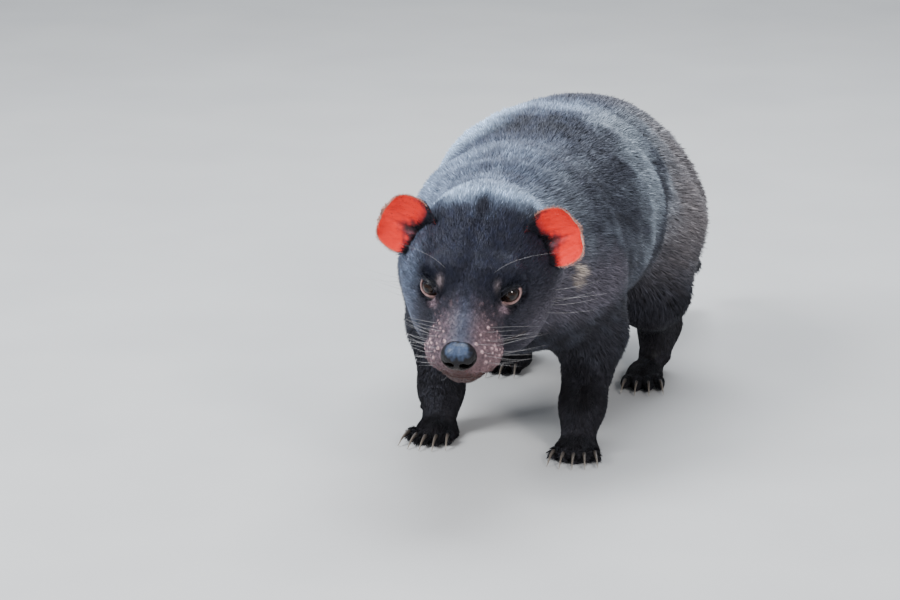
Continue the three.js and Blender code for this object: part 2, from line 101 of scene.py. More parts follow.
def ellipsoid(p, centre, radii):
    d = p - np.array(centre)
    near = length(d / np.array(radii))
    steep = length(d / np.array(radii) ** 2)
    return np.where(near < 1e-3, -min(radii), near * (near - 1) / np.maximum(steep, 1e-9))


def limb(p, a, b, start, end):
    a, b = np.array(a, float), np.array(b, float)
    u = b - a
    t = np.clip(dot(p - a, u) / dot(u, u), 0, 1)
    return length(p - a - t[..., None] * u) - (start + t * (end - start))


def blend(a, b, reach):
    share = np.maximum(reach - np.abs(a - b), 0) / reach
    return np.minimum(a, b) - share * share * reach / 4


def chain(p, joints, radii, reach):
    d = limb(p, joints[0], joints[1], radii[0], radii[1])
    for i in range(1, len(joints) - 1):
        d = blend(d, limb(p, joints[i], joints[i + 1], radii[i], radii[i + 1]), reach)
    return d


def folded(p):
    """The points with their left and right halves laid over one another."""
    return np.stack([np.abs(p[..., 0]), p[..., 1], p[..., 2]], -1)


def swing(y):
    return SPINE_SIDE + HIP_SWING * (np.maximum(0, y - SWING_FROM) / SWING_LENGTH) ** 2


def torso_field(p):
    q = np.stack([p[..., 0] - swing(p[..., 1]), p[..., 1], p[..., 2]], -1)
    q = folded(q)
    d = ellipsoid(q, [BACK_SPREAD, 74, MIDDLE], [BODY_WIDTH / 2 - BACK_SPREAD, 146, HALF_DEPTH])
    d = blend(d, ellipsoid(q, [0, -58, MIDDLE - 5], [82, 100, 88]), 50)
    d = blend(d, ellipsoid(q, [0, 178, MIDDLE - 4], [86, 90, 88]), 50)
    d = blend(d, ellipsoid(q, [52, -62, MIDDLE - 12], [33, 56, 68]), 30)
    return blend(d, ellipsoid(q, [60, 172, MIDDLE - 32], [42, 66, 74]), 34)


def head_field(q):
    q = folded(q)
    d = ellipsoid(q, [0, 0, -8], [54, 58, 42])
    d = blend(d, ellipsoid(q, [CHEEK - 39, -2, -18], [37, 50, 36]), 22)
    d = blend(d, ellipsoid(q, [25, -22, -45], [32, 44, 30]), 20)
    d = blend(d, limb(q, [0, -44, -12], [0, -99, -29], 36, 22.5), 20)
    d = blend(d, ellipsoid(q, [17, -91, -32], [16, 21, 16]), 10)
    d = blend(d, limb(q, [0, -26, -46], [2, -93, -49], 30, 15), 12)
    return blend(d, ellipsoid(q, [25, -46, 12], [18, 16, 12]), 14)


def turned(axis, degrees):
    c, s = math.cos(math.radians(degrees)), math.sin(math.radians(degrees))
    i, j = (axis + 1) % 3, (axis + 2) % 3
    m = np.eye(3)
    m[i, i], m[i, j], m[j, i], m[j, j] = c, -s, s, c
    return m


HEAD_TURN = turned(2, HEAD_YAW) @ turned(0, HEAD_PITCH) @ turned(1, HEAD_ROLL)


def to_head(p):
    return (p - HEAD_PLACE) @ HEAD_TURN


def from_head(q):
    return np.asarray(q, float) @ HEAD_TURN.T + HEAD_PLACE


class Leg:
    """A leg's joints and radii, and its foot with its toes."""

    def __init__(self, side, front, foot_y):
        def at(x, y, z):
            return [side * x + swing(y), y, z]

        self.name = ("left" if side > 0 else "right") + ("_fore" if front else "_hind")
        self.side = side
        self.front = front
        if front:
            ankle, heel = at(68, foot_y + 16, 40), at(67, foot_y + 8, 22)
            self.joints = [at(60, -58, 150), at(70, -42, 100), ankle, heel]
            self.radii = [40, 31, 19, 17]
            self.foot = np.array(at(67, foot_y - 6, 0))
            self.palm, self.lengths = [21, 27, 22], [11, 14, 15, 14, 11]
            self.turn, spread, reach = side * 6, 34, 23
        else:
            ankle, heel = at(72, foot_y + 34, 48), at(70, foot_y + 30, 20)
            self.joints = [at(64, 168, 145), at(78, 140, 92), ankle, heel]
            self.radii = [56, 36, 19, 16]
            self.foot = np.array(at(69, foot_y, 0))
            self.palm, self.lengths = [18, 38, 19], [11.7, 14, 14.6, 12.4]
            self.turn, spread, reach = side * 8, 30, 36
        self.rotation = turned(2, self.turn)
        self.toes = []
        for i, size in enumerate(self.lengths):
            across = 2 * i / (len(self.lengths) - 1) - 1
            centre = [across * spread / 2, -reach + 5 * across * across, 6.4]
            tilt = turned(0, math.degrees(0.1)) @ turned(2, math.degrees(across * 0.22))
            self.toes.append((np.array(centre), tilt, np.array([5.6, size, 6.6])))

    def toe_points(self, toe, local):
        """Points given in shares of a toe's radii, placed in the body's frame."""
        centre, tilt, radii = toe
        return ((local * radii) @ tilt.T + centre) @ self.rotation.T + self.foot

    def field(self, p):
        d = blend(chain(p, self.joints, self.radii, 14), ellipsoid(p, self.foot, self.palm), 10)
        low = p[:, 2] < 34
        q = (p[low] - self.foot) @ self.rotation
        for centre, tilt, radii in self.toes:
            d[low] = blend(d[low], ellipsoid((q - centre) @ tilt, [0, 0, 0], list(radii)), 2.5)
        return d


LEGS = [Leg(1, True, -92), Leg(-1, True, -66), Leg(1, False, 150), Leg(-1, False, 178)]
tail_share = np.linspace(0, 1, 11)
tail_bend = np.sin(math.pi * tail_share)
TAIL = np.array([26.0, 214, 196]) + tail_share[:, None] * [66, 200, -150]
TAIL = TAIL + np.stack([4 * tail_bend, 8 * tail_bend, 22 * tail_bend * (1 - tail_share)], 1)
TAIL_RADII = 8 + 36 * (1 - tail_share) ** 1.1


def legs_field(p):
    return np.minimum.reduce([leg.field(p) for leg in LEGS])


def tail_field(p):
    return chain(p, TAIL, TAIL_RADII, 2)


def only_where(mask, field, p):
    """A field worked out only for some of the points, and far outside for the rest."""
    d = np.full(len(p), 500.0)
    if mask.any():
        d[mask] = field(p[mask])
    return d


def flesh_field(p):
    d = torso_field(p)
    d = blend(d, limb(p, [0, -84, MIDDLE], from_head([0, 34, -12]), 80, 54), 40)
    d = blend(d, only_where(p[:, 1] < -50, lambda near: head_field(to_head(near)), p), 30)
    d = blend(d, only_where(p[:, 2] < 235, legs_field, p), 30)
    return blend(d, only_where(p[:, 1] > 130, tail_field, p), 30)


def coat_depth(p):
    """How far the skin lies inside the tips of the coat."""
    qy = to_head(p)[:, 1]
    body = 1.2 + 5.3 * smooth(p[:, 2], 22, 110)
    head = 0.5 + 2.2 * smooth(qy, -96, -40) + 3.0 * smooth(qy, -30, 50)
    return np.where(qy < 60, np.minimum(head, body + 2), body)


def slope(field, p):
    h = 0.05
    g = np.empty_like(p)
    for axis in range(3):
        step = np.zeros(3)
        step[axis] = h
        g[:, axis] = (field(p + step) - field(p - step)) / (2 * h)
    return g


def drawn_to(field, p, rounds=3, far=2.0):
    for _ in range(rounds):
        g = slope(field, p)
        p = p - g * np.clip(field(p) / np.maximum(dot(g, g), 0.2), -far, far)[:, None]
    return p


def march(field, start, way, rounds=60):
    """Where rays from outside meet a field."""
    p = np.array(start, float)
    way = unit(np.asarray(way, float))
    for _ in range(rounds):
        p = p + way * (field(p) * 0.8)[:, None]
    return p


# The eyes, in the head's frame, mirrored by side
EYE_WAY = unit(np.array([0.42, -0.86, 0.16]))
eye_surface = march(head_field, np.array([[24.0, -34, -1.5]]) + EYE_WAY * 60, -EYE_WAY[None])[0]
EYE = eye_surface + EYE_WAY * (1.2 - EYE_RADIUS)


def mirrored(v, side):
    return np.asarray(v) * [side, 1, 1]


eye_low, eye_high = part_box("left_eye")
OFFSET = (np.array(eye_low) + np.array(eye_high)) / 2 * PER_METRE - from_head(EYE)


def folds(p):
    """Soft folds of the skin, as height over the smooth body."""
    x, y, z = p.T
    qx, qy, qz = to_head(p).T
    along = y + 0.25 * (z - 200)
    flank = smooth(np.abs(x - swing(y)), 30, 75) * smooth(z, 105, 150)
    flank = flank * smooth(y, 10, 50) * fade(y, 170, 215)
    ripple = np.sin((along - 62) / 38 * 2 * math.pi + 0.4 * np.sin(z / 37))
    height = 1.5 * flank * (np.abs(ripple) ** 0.7 * np.sign(ripple) - 0.2)
    # ripples across the nape
    nape = smooth(y, -150, -120) * fade(y, -70, -20) * smooth(z, 150, 210)
    height = height + 0.6 * nape * np.sin((along + 96) / 36 * 2 * math.pi)
    # a furrow down the forehead, and creases running from the eyes to the muzzle
    aside = np.abs(qx)
    brow = smooth(qy, -70, -50) * fade(qy, -16, 6) * smooth(qz, -6, 12)
    height = height - 1.2 * brow * hump(aside, 0, 4.5) + 0.8 * brow * hump(aside, 11, 5)
    crease = hump(aside - 0.16 * (qy + 60), 20, 2.6) * smooth(qy, -88, -74) * fade(qy, -62, -50)
    return height - 0.9 * crease * smooth(qz, -34, -16)


EYE_BOWL = 12.6
NOSE = np.array([0, -116, -20.5])
NOSE_RADII = [15.5, 12, 12.5]
NOSE_TURN = turned(0, math.degrees(-0.25))
NOSE_SINK = 1.2


def nose_ball(q):
    return ellipsoid((q - NOSE) @ NOSE_TURN, [0, 0, 0], NOSE_RADII)


def smooth_skin(p):
    return flesh_field(p) + coat_depth(p) - folds(p)


def skin_field(p):
    """The skin, with its sockets for the nose and the eyes."""
    d = np.maximum(smooth_skin(p), -p[..., 2])
    q = folded(to_head(p))
    d = np.maximum(d, -(nose_ball(q) + NOSE_SINK))
    return np.maximum(d, EYE_BOWL - length(q - EYE))


# Meshes
def mesh_object(name, points, faces, dress, shade_smooth=True, **attributes):
    """A mesh from points in millimetres of the body's frame, and its numbers or colours by point."""
    faces = np.asarray(faces, np.int32)
    mesh = bpy.data.meshes.new(name)
    mesh.vertices.add(len(points))
    mesh.vertices.foreach_set("co", ((np.asarray(points) + OFFSET) / PER_METRE).astype(np.float32).ravel())
    mesh.loops.add(faces.size)
    mesh.loops.foreach_set("vertex_index", faces.ravel())
    mesh.polygons.add(len(faces))
    mesh.polygons.foreach_set("loop_start", np.arange(0, faces.size, 3, dtype=np.int32))
    mesh.polygons.foreach_set("loop_total", np.full(len(faces), 3, np.int32))
    mesh.polygons.foreach_set("use_smooth", np.full(len(faces), shade_smooth))
    mesh.update(calc_edges=True)
    mesh.validate()
    mesh.materials.append(dress.material)
    made = bpy.data.objects.new(name, mesh)
    bpy.context.scene.collection.objects.link(made)
    for key, values in attributes.items():
        values = np.asarray(values, np.float32)
        colours = values.ndim == 2
        layer = mesh.attributes.new(key, "FLOAT_COLOR" if colours else "FLOAT", "POINT")
        if colours:
            values = np.concatenate([values, np.ones((len(values), 1), np.float32)], 1)
        layer.data.foreach_set("color" if colours else "value", values.ravel())
    return made


def ring_faces(bands, sides):
    """Triangles of the bands between rings of points."""
    a = np.arange(bands * sides).reshape(bands, sides)
    b = np.roll(a, -1, 1)
    pair = [np.stack([a, b, b + sides], -1), np.stack([a, b + sides, a + sides], -1)]
    return np.stack(pair, 1).reshape(-1, 3)


def capped_faces(bands, sides, start, first, last):
    """Triangles of a tube whose rings begin at the point start, and which the points first and last close."""
    k = np.arange(sides)
    j, end = np.roll(k, -1), start + bands * sides
    low = np.stack([0 * k + first, start + j, start + k], 1)
    high = np.stack([0 * k + last, end + k, end + j], 1)
    return np.concatenate([ring_faces(bands, sides) + start, low, high])


def outward(points, faces):
    """The faces of a closed shape, turned to look out."""
    a, b, c = (points[faces[:, n]] for n in range(3))
    return faces if dot(a, np.cross(b, c)).sum() > 0 else faces[:, ::-1]


def joined(pieces):
    """One list each of the pieces' points, faces and values by point."""
    starts = np.cumsum([0] + [len(piece[0]) for piece in pieces])
    columns = list(zip(*pieces))
    columns[1] = [faces + start for faces, start in zip(columns[1], starts)]
    return [np.concatenate(column) for column in columns]


def frames(line, hint):
    """The ways along a line, across it and up from it, at each of its points."""
    along = unit(np.gradient(line, axis=0))
    across = unit(np.cross(along, hint))
    return along, across, np.cross(across, along)


def surface_net(field, axes):
    """One vertex in each cell of a grid that the surface crosses, drawn onto the surface, and a quad for each
    crossed edge."""
    shape = [len(a) for a in axes]
    y, z = np.meshgrid(axes[1], axes[2], indexing="ij")
    value = np.empty(shape)
    for i, x in enumerate(axes[0]):
        value[i] = field(np.stack([np.full(y.size, x), y.ravel(), z.ravel()], 1)).reshape(y.shape)
    inside = value < 0
    cells, points, quads = [], [], []
    for axis in range(3):
        low = [slice(None)] * 3
        high = [slice(None)] * 3
        low[axis], high[axis] = slice(None, -1), slice(1, None)
        at = np.argwhere(inside[tuple(low)] != inside[tuple(high)])
        u, v = (axis + 1) % 3, (axis + 2) % 3
        at = at[(at[:, u] > 0) & (at[:, v] > 0) & (at[:, u] < shape[u] - 1) & (at[:, v] < shape[v] - 1)]
        beyond = at.copy()
        beyond[:, axis] += 1
        a, b = value[tuple(at.T)], value[tuple(beyond.T)]
        place = np.stack([axes[n][at[:, n]] for n in range(3)], 1)
        place[:, axis] += (axes[axis][beyond[:, axis]] - place[:, axis]) * a / (a - b)
        ring = []
        for du, dv in ((0, 0), (-1, 0), (-1, -1), (0, -1)):
            cell = at.copy()
            cell[:, u] += du
            cell[:, v] += dv
            ring.append(np.ravel_multi_index(tuple(cell.T), shape))
            points.append(place)
            cells.append(ring[-1])
        ring = np.stack(ring, 1)
        quads.append(np.where((a < 0)[:, None], ring, ring[:, ::-1]))
    cells, points, quads = np.concatenate(cells), np.concatenate(points), np.concatenate(quads)
    used, index = np.unique(cells, return_inverse=True)
    count = np.bincount(index)
    vertex = np.stack([np.bincount(index, points[:, n]) / count for n in range(3)], 1)
    return vertex, np.searchsorted(used, quads)


def steps(*stretches):
    """Grid places from stretches of (end, spacing), after the first one's start."""
    places = [stretches[0]]
    for end, spacing in stretches[1:]:
        count = max(1, round((end - places[-1]) / spacing))
        places.extend(np.linspace(places[-1], end, count + 1)[1:])
    return np.array(places)


SKIN_AXES = [
    steps(-130, (-86, 4), (94, 2.4), (150, 4)),
    steps(-334, (-226, 2.0), (-150, 2.6), (110, 4.2), (232, 3.6), (440, 4.2)),
    steps(-5, (0, 2.5), (36, 2.7), (104, 4), (270, 2.6), (290, 4)),
]
skin_points, skin_quads = surface_net(skin_field, SKIN_AXES)
skin_points = drawn_to(skin_field, skin_points)
skin_points[:, 2] = np.maximum(skin_points[:, 2], 0)


# The lips meet along a fan of rays from inside the jaws
MOUTH_TURN = 98
mouth_side = np.linspace(-1, 1, 61)
mouth_angle = np.radians(MOUTH_TURN) * mouth_side
mouth_way = np.stack([np.sin(mouth_angle), -np.cos(mouth_angle), 0 * mouth_angle], 1)
mouth_from = np.array([0, -60, -39]) - (4 * (1 - np.abs(mouth_side)))[:, None] * [0, 0, 1]


def head_skin(q):
    return skin_field(from_head(q))


MOUTH = march(head_skin, mouth_from + mouth_way * 110, -mouth_way)


def from_line(q, line):
    """Distance to a line of points, height over it along Z, and the share of the way along it."""
    best = np.full(len(q), 1e9)
    above, share = np.zeros(len(q)), np.zeros(len(q))
    for i in range(len(line) - 1):
        a, u = line[i], line[i + 1] - line[i]
        t = np.clip(dot(q - a, u) / dot(u, u), 0, 1)
        gap = q - a - t[:, None] * u
        d = length(gap)
        nearer = d < best
        best[nearer] = d[nearer]
        above[nearer] = gap[nearer, 2]
        share[nearer] = (i + t[nearer]) / (len(line) - 1)
    return best, above, share


def refined(points, quads, near, cuts):
    """Triangles of the mesh, with the faces that touch marked points cut finer."""
    bm = bmesh.new()
    verts = [bm.verts.new(p) for p in points]
    for q in quads:
        bm.faces.new([verts[i] for i in q])
    edges = {e for v, mark in zip(verts, near) if mark for f in v.link_faces for e in f.edges}
    bmesh.ops.subdivide_edges(bm, edges=list(edges), cuts=cuts, use_grid_fill=True)
    bmesh.ops.triangulate(bm, faces=bm.faces[:])
    bm.verts.index_update()
    made = np.array([v.co[:] for v in bm.verts])
    triangles = np.array([[v.index for v in f.verts] for f in bm.faces])
    bm.free()
    return made, triangles


def normals_of(points, triangles):
    a, b, c = (points[triangles[:, n]] for n in range(3))
    face = np.cross(b - a, c - a)
    sums = [sum(np.bincount(triangles[:, n], face[:, k], len(points)) for n in range(3)) for k in range(3)]
    return unit(np.stack(sums, 1))


def waves(p, size, seed, count=7):
    """Rough height from a sum of waves, between about -1 and 1."""
    draw = np.random.default_rng(seed)
    total = 0
    for _ in range(count):
        way = unit(draw.normal(size=3)) * 2 * math.pi / (size * draw.uniform(0.7, 1.5))
        total = total + np.sin(p @ way + draw.uniform(0, 2 * math.pi))
    return total / math.sqrt(count)


def on_muzzle(q):
    return (q[:, 1] < -62) & (np.abs(q[:, 0]) < 40)


skin_head = to_head(skin_points)
finer = (from_line(skin_head, MOUTH)[0] < 6) | on_muzzle(skin_head)
skin_points, skin_triangles = refined(skin_points, skin_quads, finer, 2)
skin_head = to_head(skin_points)
mouth_gap, mouth_above, mouth_share = from_line(skin_head, MOUTH)
moved = (mouth_gap < 14) | on_muzzle(skin_head)
skin_points[moved] = drawn_to(skin_field, skin_points[moved])
skin_normal = normals_of(skin_points, skin_triangles)

# Lips roll to either side of a deep thin line, fading towards the corners of the mouth
lip_share = smooth(1 - np.abs(2 * mouth_share - 1), 0.0, 0.12)
lip = hump(mouth_gap, 2.6, 1.5) * np.where(mouth_above > 0, 1.0, 0.8)
line_depth = 2.3 * hump(mouth_gap, 0, 0.85)
chin_creases = 0.25 * waves(skin_head, 5, 3) * smooth(-skin_head[:, 1], 60, 80)


def pad_bumps():
    """Bumps in staggered rows on the left whisker pad, each the root of a whisker, and fewer above them.

    Gives their places in the head's frame, their sizes and how pale they are.
    """
    starts, sizes = [], []
    for row in range(7):
        for column in range(8 - abs(row - 3) // 2):
            y = -111 + column * 5.7 + 2.8 * (row % 2) + rng.uniform(-1.5, 1.5)
            z = -9 - row * 4.9 - 0.12 * (y + 100) + rng.uniform(-1.4, 1.4)
            starts.append([70, y - 25, z])
            sizes.append(rng.uniform(0.7, 1.55) * (1 - 0.04 * column))
    for _ in range(16):
        starts.append([70, rng.uniform(-104, -78), rng.uniform(-14, 6)])
        sizes.append(rng.uniform(0.4, 0.75))
    starts = np.array(starts)
    way = unit(np.array([[-0.93, 0.36, 0.0]]))
    places = march(head_skin, starts, np.repeat(way, len(starts), 0))
    keep = (places[:, 0] > 9) & (nose_ball(places) > 3.5)
    places, sizes = places[keep], np.array(sizes)[keep]
    return places, sizes, rng.uniform(0.3, 1.0, len(sizes)) * (1 - 0.8 * smooth(-places[:, 2], 24, 38))


BUMPS, BUMP_SIZES, BUMP_TONES = pad_bumps()
fold_head = folded(skin_head)
bump, bump_tone = np.zeros(len(skin_points)), np.zeros(len(skin_points))
close = (skin_head[:, 1] < -60) & (mouth_gap > 1.5)
for place, size, tone in zip(BUMPS, BUMP_SIZES, BUMP_TONES):
    dome = hump(length(fold_head[close] - place), 0, 1.5 * size)
    bump[close] = np.maximum(bump[close], size * dome)
    bump_tone[close] = np.maximum(bump_tone[close], tone * dome)
wrinkles = 0.28 * waves(skin_head * [1, 1, 1.6], 4.4, 5) * smooth(-skin_head[:, 1], 66, 84)
wrinkles = wrinkles * smooth(np.abs(skin_head[:, 0]), 4, 16)
relief = (lip - line_depth) * lip_share * (mouth_gap < 9) + chin_creases + wrinkles + 1.05 * bump
skin_points = skin_points + skin_normal * relief[:, None]
skin_points[:, 2] = np.maximum(skin_points[:, 2], 0)


# Lids round each eye: rings of points from under the wet rim, over the lid and its folds, down into the skin
LID_STEPS, LID_RINGS = 72, 12
LID_RIM, LID_REACH = 1.4, 17.5
LID_TURN = math.radians(21)
PLANE_RIGHT = unit(np.cross([0, 0, 1.0], EYE_WAY))
PLANE_UP = np.cross(EYE_WAY, PLANE_RIGHT)


def almond(angle):
    """The opening between the lids, seen along the eye's way: wide, with its inner corner long and low."""
    x = 7.6 * np.cos(angle)
    y = np.where(np.sin(angle) > 0, 5.3, 5.7) * np.sin(angle)
    inner = np.clip(-np.cos(angle), 0, 1) ** 4
    outer = np.clip(np.cos(angle), 0, 1) ** 4
    x, y = x - 1.8 * inner + 0.3 * outer, y - 0.8 * inner + 0.4 * outer
    c, s = math.cos(LID_TURN), math.sin(LID_TURN)
    return c * x - s * y, s * x + c * y


def lid_points():
    angle = np.linspace(0, 2 * math.pi, LID_STEPS, endpoint=False)
    x, y = almond(angle)
    reach = np.hypot(x, y)
    upper = np.clip(np.sin(angle), 0, 1)
    lower = np.clip(-np.sin(angle), 0, 1)
    inner = np.clip(-np.cos(angle), 0, 1) ** 3

    def seen_at(u, v, w):
        return EYE + u[:, None] * PLANE_RIGHT + v[:, None] * PLANE_UP + w[:, None] * EYE_WAY

    def on_ball(scale, add, ball):
        u, v = x * scale + np.cos(angle) * add, y * scale + np.sin(angle) * add
        return seen_at(u, v, np.sqrt(np.maximum(ball * ball - u * u - v * v, (ball * 0.35) ** 2)))

    def on_skin(far):
        start = seen_at(np.cos(angle) * far, np.sin(angle) * far, np.full(LID_STEPS, 40.0))
        return march(lambda q: smooth_skin(from_head(q)), start, np.repeat(-EYE_WAY[None], LID_STEPS, 0))

    pale = smooth(0.35 * np.cos(angle) - np.sin(angle), -0.25, 0.35)
    rim = ((1.05, 0.2, -0.9), (1.0, 0, 0.05), (1.0, 0.15, 0.7), (1.0, 0.7, 1.35), (1.0, LID_RIM, 1.6))
    rings = [on_ball(scale, add, EYE_RADIUS + over) for scale, add, over in rim]
    marks, tones = [np.ones(LID_STEPS)] * len(rim), [pale] * len(rim)
    for k in range(1, LID_RINGS + 1):
        t = k / LID_RINGS
        far = reach + LID_RIM + (LID_REACH - reach - LID_RIM) * t
        share = smooth(t, 0.02, 0.62)
        ring = on_ball(1.0, LID_RIM + 7 * t, EYE_RADIUS + 1.6 + 0.5 * t) * (1 - share) + on_skin(far) * share
        roll = hump(t, 0.30, 0.1) - 1.1 * hump(t, 0.17, 0.06) + 0.5 * hump(t, 0.62, 0.1)
        bag = 0.7 * hump(t, 0.24, 0.09) - 0.8 * hump(t, 0.40, 0.06)
        height = upper * roll + lower * bag + 0.4 * inner * np.sin(t * 20)
        height = height + 0.25 * (t > 0.5) * (t < 0.8) - 1.6 * smooth(t, 0.82, 1)
        rings.append(ring + height[:, None] * EYE_WAY)
        marks.append(0.6 * (1 - t) * (0.35 + 0.65 * lower + 0.4 * inner))
        tones.append(0.8 * pale * (1 - t) ** 2)
    return np.concatenate(rings), np.concatenate(marks), np.concatenate(tones)


lid_local, lid_mark, lid_tone = lid_points()
lid_triangles = ring_faces(len(lid_local) // LID_STEPS - 1, LID_STEPS)
# the lids' own normals, past the rim, tell which way their faces look
facing = dot(normals_of(lid_local, lid_triangles), EYE_WAY[None])[LID_STEPS * 6 :].mean() > 0
parts = [(skin_points, skin_triangles, np.zeros(len(skin_points)), np.zeros(len(skin_points)))]
for side in (1, -1):
    turn = lid_triangles[:, :: 1 if (side > 0) == facing else -1]
    parts.append((from_head(mirrored(lid_local, side)), turn, lid_mark, lid_tone))
skin_points, skin_triangles, lid_bare, lid_pink = joined(parts)
bump_tone = np.concatenate([bump_tone, np.zeros(len(skin_points) - len(bump_tone))])
skin_normal = normals_of(skin_points, skin_triangles)


# Markings and painted light, as colours of the coat and skin by place: the coat's own marks, with painted
# sheen, painted rim light and painted shade
def mix(a, b, share):
    return a + (np.asarray(b) - a) * np.clip(share, 0, 1)[:, None]


def spot(p, centre, radius, edge=0.5):
    return fade(length((p - np.array(centre)) / np.array(radius)), 1 - edge, 1)


def blot(p, centre, radii):
    return np.exp(-(((p - np.array(centre)) / np.array(radii)) ** 2).sum(-1))


DEEP = [0.014, 0.014, 0.019]
SLATE = [0.048, 0.056, 0.086]
# PALE and the pale blue after it are the colours of painted sheen on the coat
PALE = [0.31, 0.39, 0.53]
SHEEN_BLUE = [0.52, 0.67, 0.88]
BROWN = [0.32, 0.275, 0.265]
DARK_FACE = [0.014, 0.014, 0.022]
SOFT_FACE = [0.015, 0.018, 0.040]
MAUVE = [0.175, 0.115, 0.135]
BRIDGE = [0.066, 0.070, 0.104]
PINK = [0.43, 0.255, 0.235]
CHIN = [0.050, 0.012, 0.007]
CREAM = [0.62, 0.52, 0.43]
SIDE_TUFT = np.array([[78, -129, 177], [76, -132, 170]], float)
BLAZE = np.array([[46, -164, 118], [18, -176, 108], [-16, -178, 107]], float)


def marks_and_painted_light(p):
    q = to_head(p)
    x_head, q = q[:, 0], folded(q)
    qx, qy, qz = q.T
    x, y, z = p.T
    x = x - swing(y)
    ragged = waves(p, 23, 11)
    fine = waves(p * [1, 0.45, 1], 9, 12)
    band = y + 7 - 0.33 * np.clip(z - 178, -60, 100) + 5 * ragged
    saddle = band + 10 * smooth(np.abs(x), 45, 85)
    sunny = smooth(x, 8, 60)
    # painted sheen and shade: dark and pale bands across the back, the pale ones standing for light caught
    # where the coat rounds over its folds; dark flanks and a pale far side
    light = 0.45 - (0.41 - 0.28 * sunny) * hump(saddle, -3, 32)
    light = light + (0.34 + 0.11 * sunny) * hump(band, 57, 24)
    light = light + 0.08 * hump(band, -84, 26) * fade(x, 0, 45)
    light = light - (0.08 + 0.12 * smooth(z, 195, 235)) * hump(band, -66, 40) * smooth(x, 30, 70)
    # painted shade in a crease on the near flank
    light = light - 0.34 * hump(band, 92, 10) * smooth(x, 62, 95)
    light = light + (0.48 * smooth(x, 15, 80) - 0.20) * smooth(band, 82, 118)
    # painted shade: the sheen fades towards the belly, so the top is lighter than the flanks below
    light = light * (0.20 + 0.80 * smooth(z, 95, 215))
    # painted highlight: pale high on the far side, towards the key light
    light = light + (0.22 + 0.10 * smooth(y, -10, 50)) * smooth(-x, 5, 70) * smooth(z, 150, 245)
    light = light + 0.08 * ragged + 0.05 * fine
    # painted rim light: a pale line where the nape rises behind the crown, with a broader paler band behind
    # it
    nape_line = qy - 0.009 * qx ** 2
    nape = hump(nape_line + 2 * ragged, 27, 10) * smooth(qz, -25, 15)
    light = light + 0.30 * hump(nape_line, 40, 22) * smooth(qz, -25, 15)
    look = mix(np.array(DEEP), SLATE, smooth(light, 0.0, 0.34))
    look = mix(look, PALE, smooth(light, 0.22, 1.0))
    look = look * (1 + sunny[:, None] * [0.10, 0.0, -0.16])
    browned = smooth(band, 90, 150) * (0.4 + 0.6 * smooth(x, -20, 80)) * smooth(z, 85, 175)
    look = mix(look, BROWN, browned * (0.7 - 0.35 * smooth(z, 222, 262)))
    # painted sheen: pale blue high on the far side, most over the loins, and along the nape's painted rim
    # light
    painted_sheen = 0.20 * smooth(-x, 35, 85) * smooth(z, 165, 235) * smooth(y, -120, -40)
    loins = smooth(y, -10, 50) * fade(y, 110, 170)
    painted_sheen = painted_sheen + 0.90 * smooth(-x, 15, 60) * smooth(z, 180, 240) * loins
    look = mix(look, SHEEN_BLUE, painted_sheen + 0.72 * nape)
    look = mix(look, [0.020, 0.017, 0.018], fade(z, 40, 120))
    # the head is darker, with a soft blue forehead and a dark spot on the crown
    face = fade(nape_line + 3 * ragged, -8, 30)
    brow = smooth(qz, -10, 45) * (0.45 + 0.35 * fine)
    head = mix(np.array(DARK_FACE), SOFT_FACE, brow)
    lower = 0.8 * fade(qz, -40, 5) * smooth(qy, -75, -35)
    head = mix(head, [0.125, 0.112, 0.135], lower * (1 + 0.25 * smooth(x_head, 20, 50)))
    # painted sheen: bluish grey down the side of the face towards the key light
    sheen = smooth(-x_head, 36, 58) * (1 - 0.35 * smooth(qz, 0, 25))
    head = mix(head, [0.18, 0.225, 0.32], 0.80 * sheen * (0.8 + 0.2 * fine))
    look = mix(look, head, face * smooth(qz, -110, -80))
    look = mix(look, [0.005, 0.004, 0.008], 0.95 * spot(q, [0, 7, 40], [10, 24, 18], 0.75))
    # bare-looking muzzle: bluish bridge, mauve pads, reddish brown lips and chin
    muzzle = smooth(-qy + 3 * fine, 66, 86)
    soft = mix(np.array(MAUVE), [0.080, 0.054, 0.066], 0.5 + 0.5 * waves(p, 5, 13))
    soft = mix(soft, [0.205, 0.120, 0.130], 0.6 * smooth(x_head, 4, 16) + 0.5 * fade(qz, -36, -24))
    soft = mix(soft, BRIDGE, hump(qx, 0, 10) * smooth(qz, -30, -14))
    speck = smooth(waves(p, 5.4, 14) + 0.5 * waves(p, 3.1, 15), 0.7, 1.5) * hump(-qy, 76, 11)
    soft = mix(soft, [0.050, 0.045, 0.060], 0.8 * fade(-qy, 76, 98) * smooth(qx, 5, 12))
    soft = mix(soft, [0.24, 0.155, 0.165], 0.75 * speck)
    soft = mix(soft, CHIN, fade(qz + 2 * fine, -44, -34))
    soft = mix(soft, [0.058, 0.020, 0.016], hump(qx, 0, 13) * fade(qz, -30, -22) * 0.85)
    look = mix(look, soft, muzzle * fade(qx, 34, 46))
    # pale spots over the inner corners of the eyes, pink ones under them
    paler = smooth(-x_head, -10, 10)
    look = mix(look, [0.62, 0.50, 0.51], (0.45 + 0.50 * paler) * blot(q, [24, -62, 11.5], [2.6, 4.5, 3.6]))
    look = mix(look, [0.56, 0.40, 0.45], 0.95 * blot(q, [29.5, -67, -5.5], [4.8, 6, 4.4]))
    tuft = from_line(p, SIDE_TUFT)[0] + 1.2 * ragged + 1.8 * fine
    look = mix(look, CREAM, 0.95 * fade(tuft, 3, 13))
    blaze = from_line(p, BLAZE)[0] + ragged + 1.5 * fine
    return mix(look, CREAM, 0.95 * fade(blaze, 5, 13))


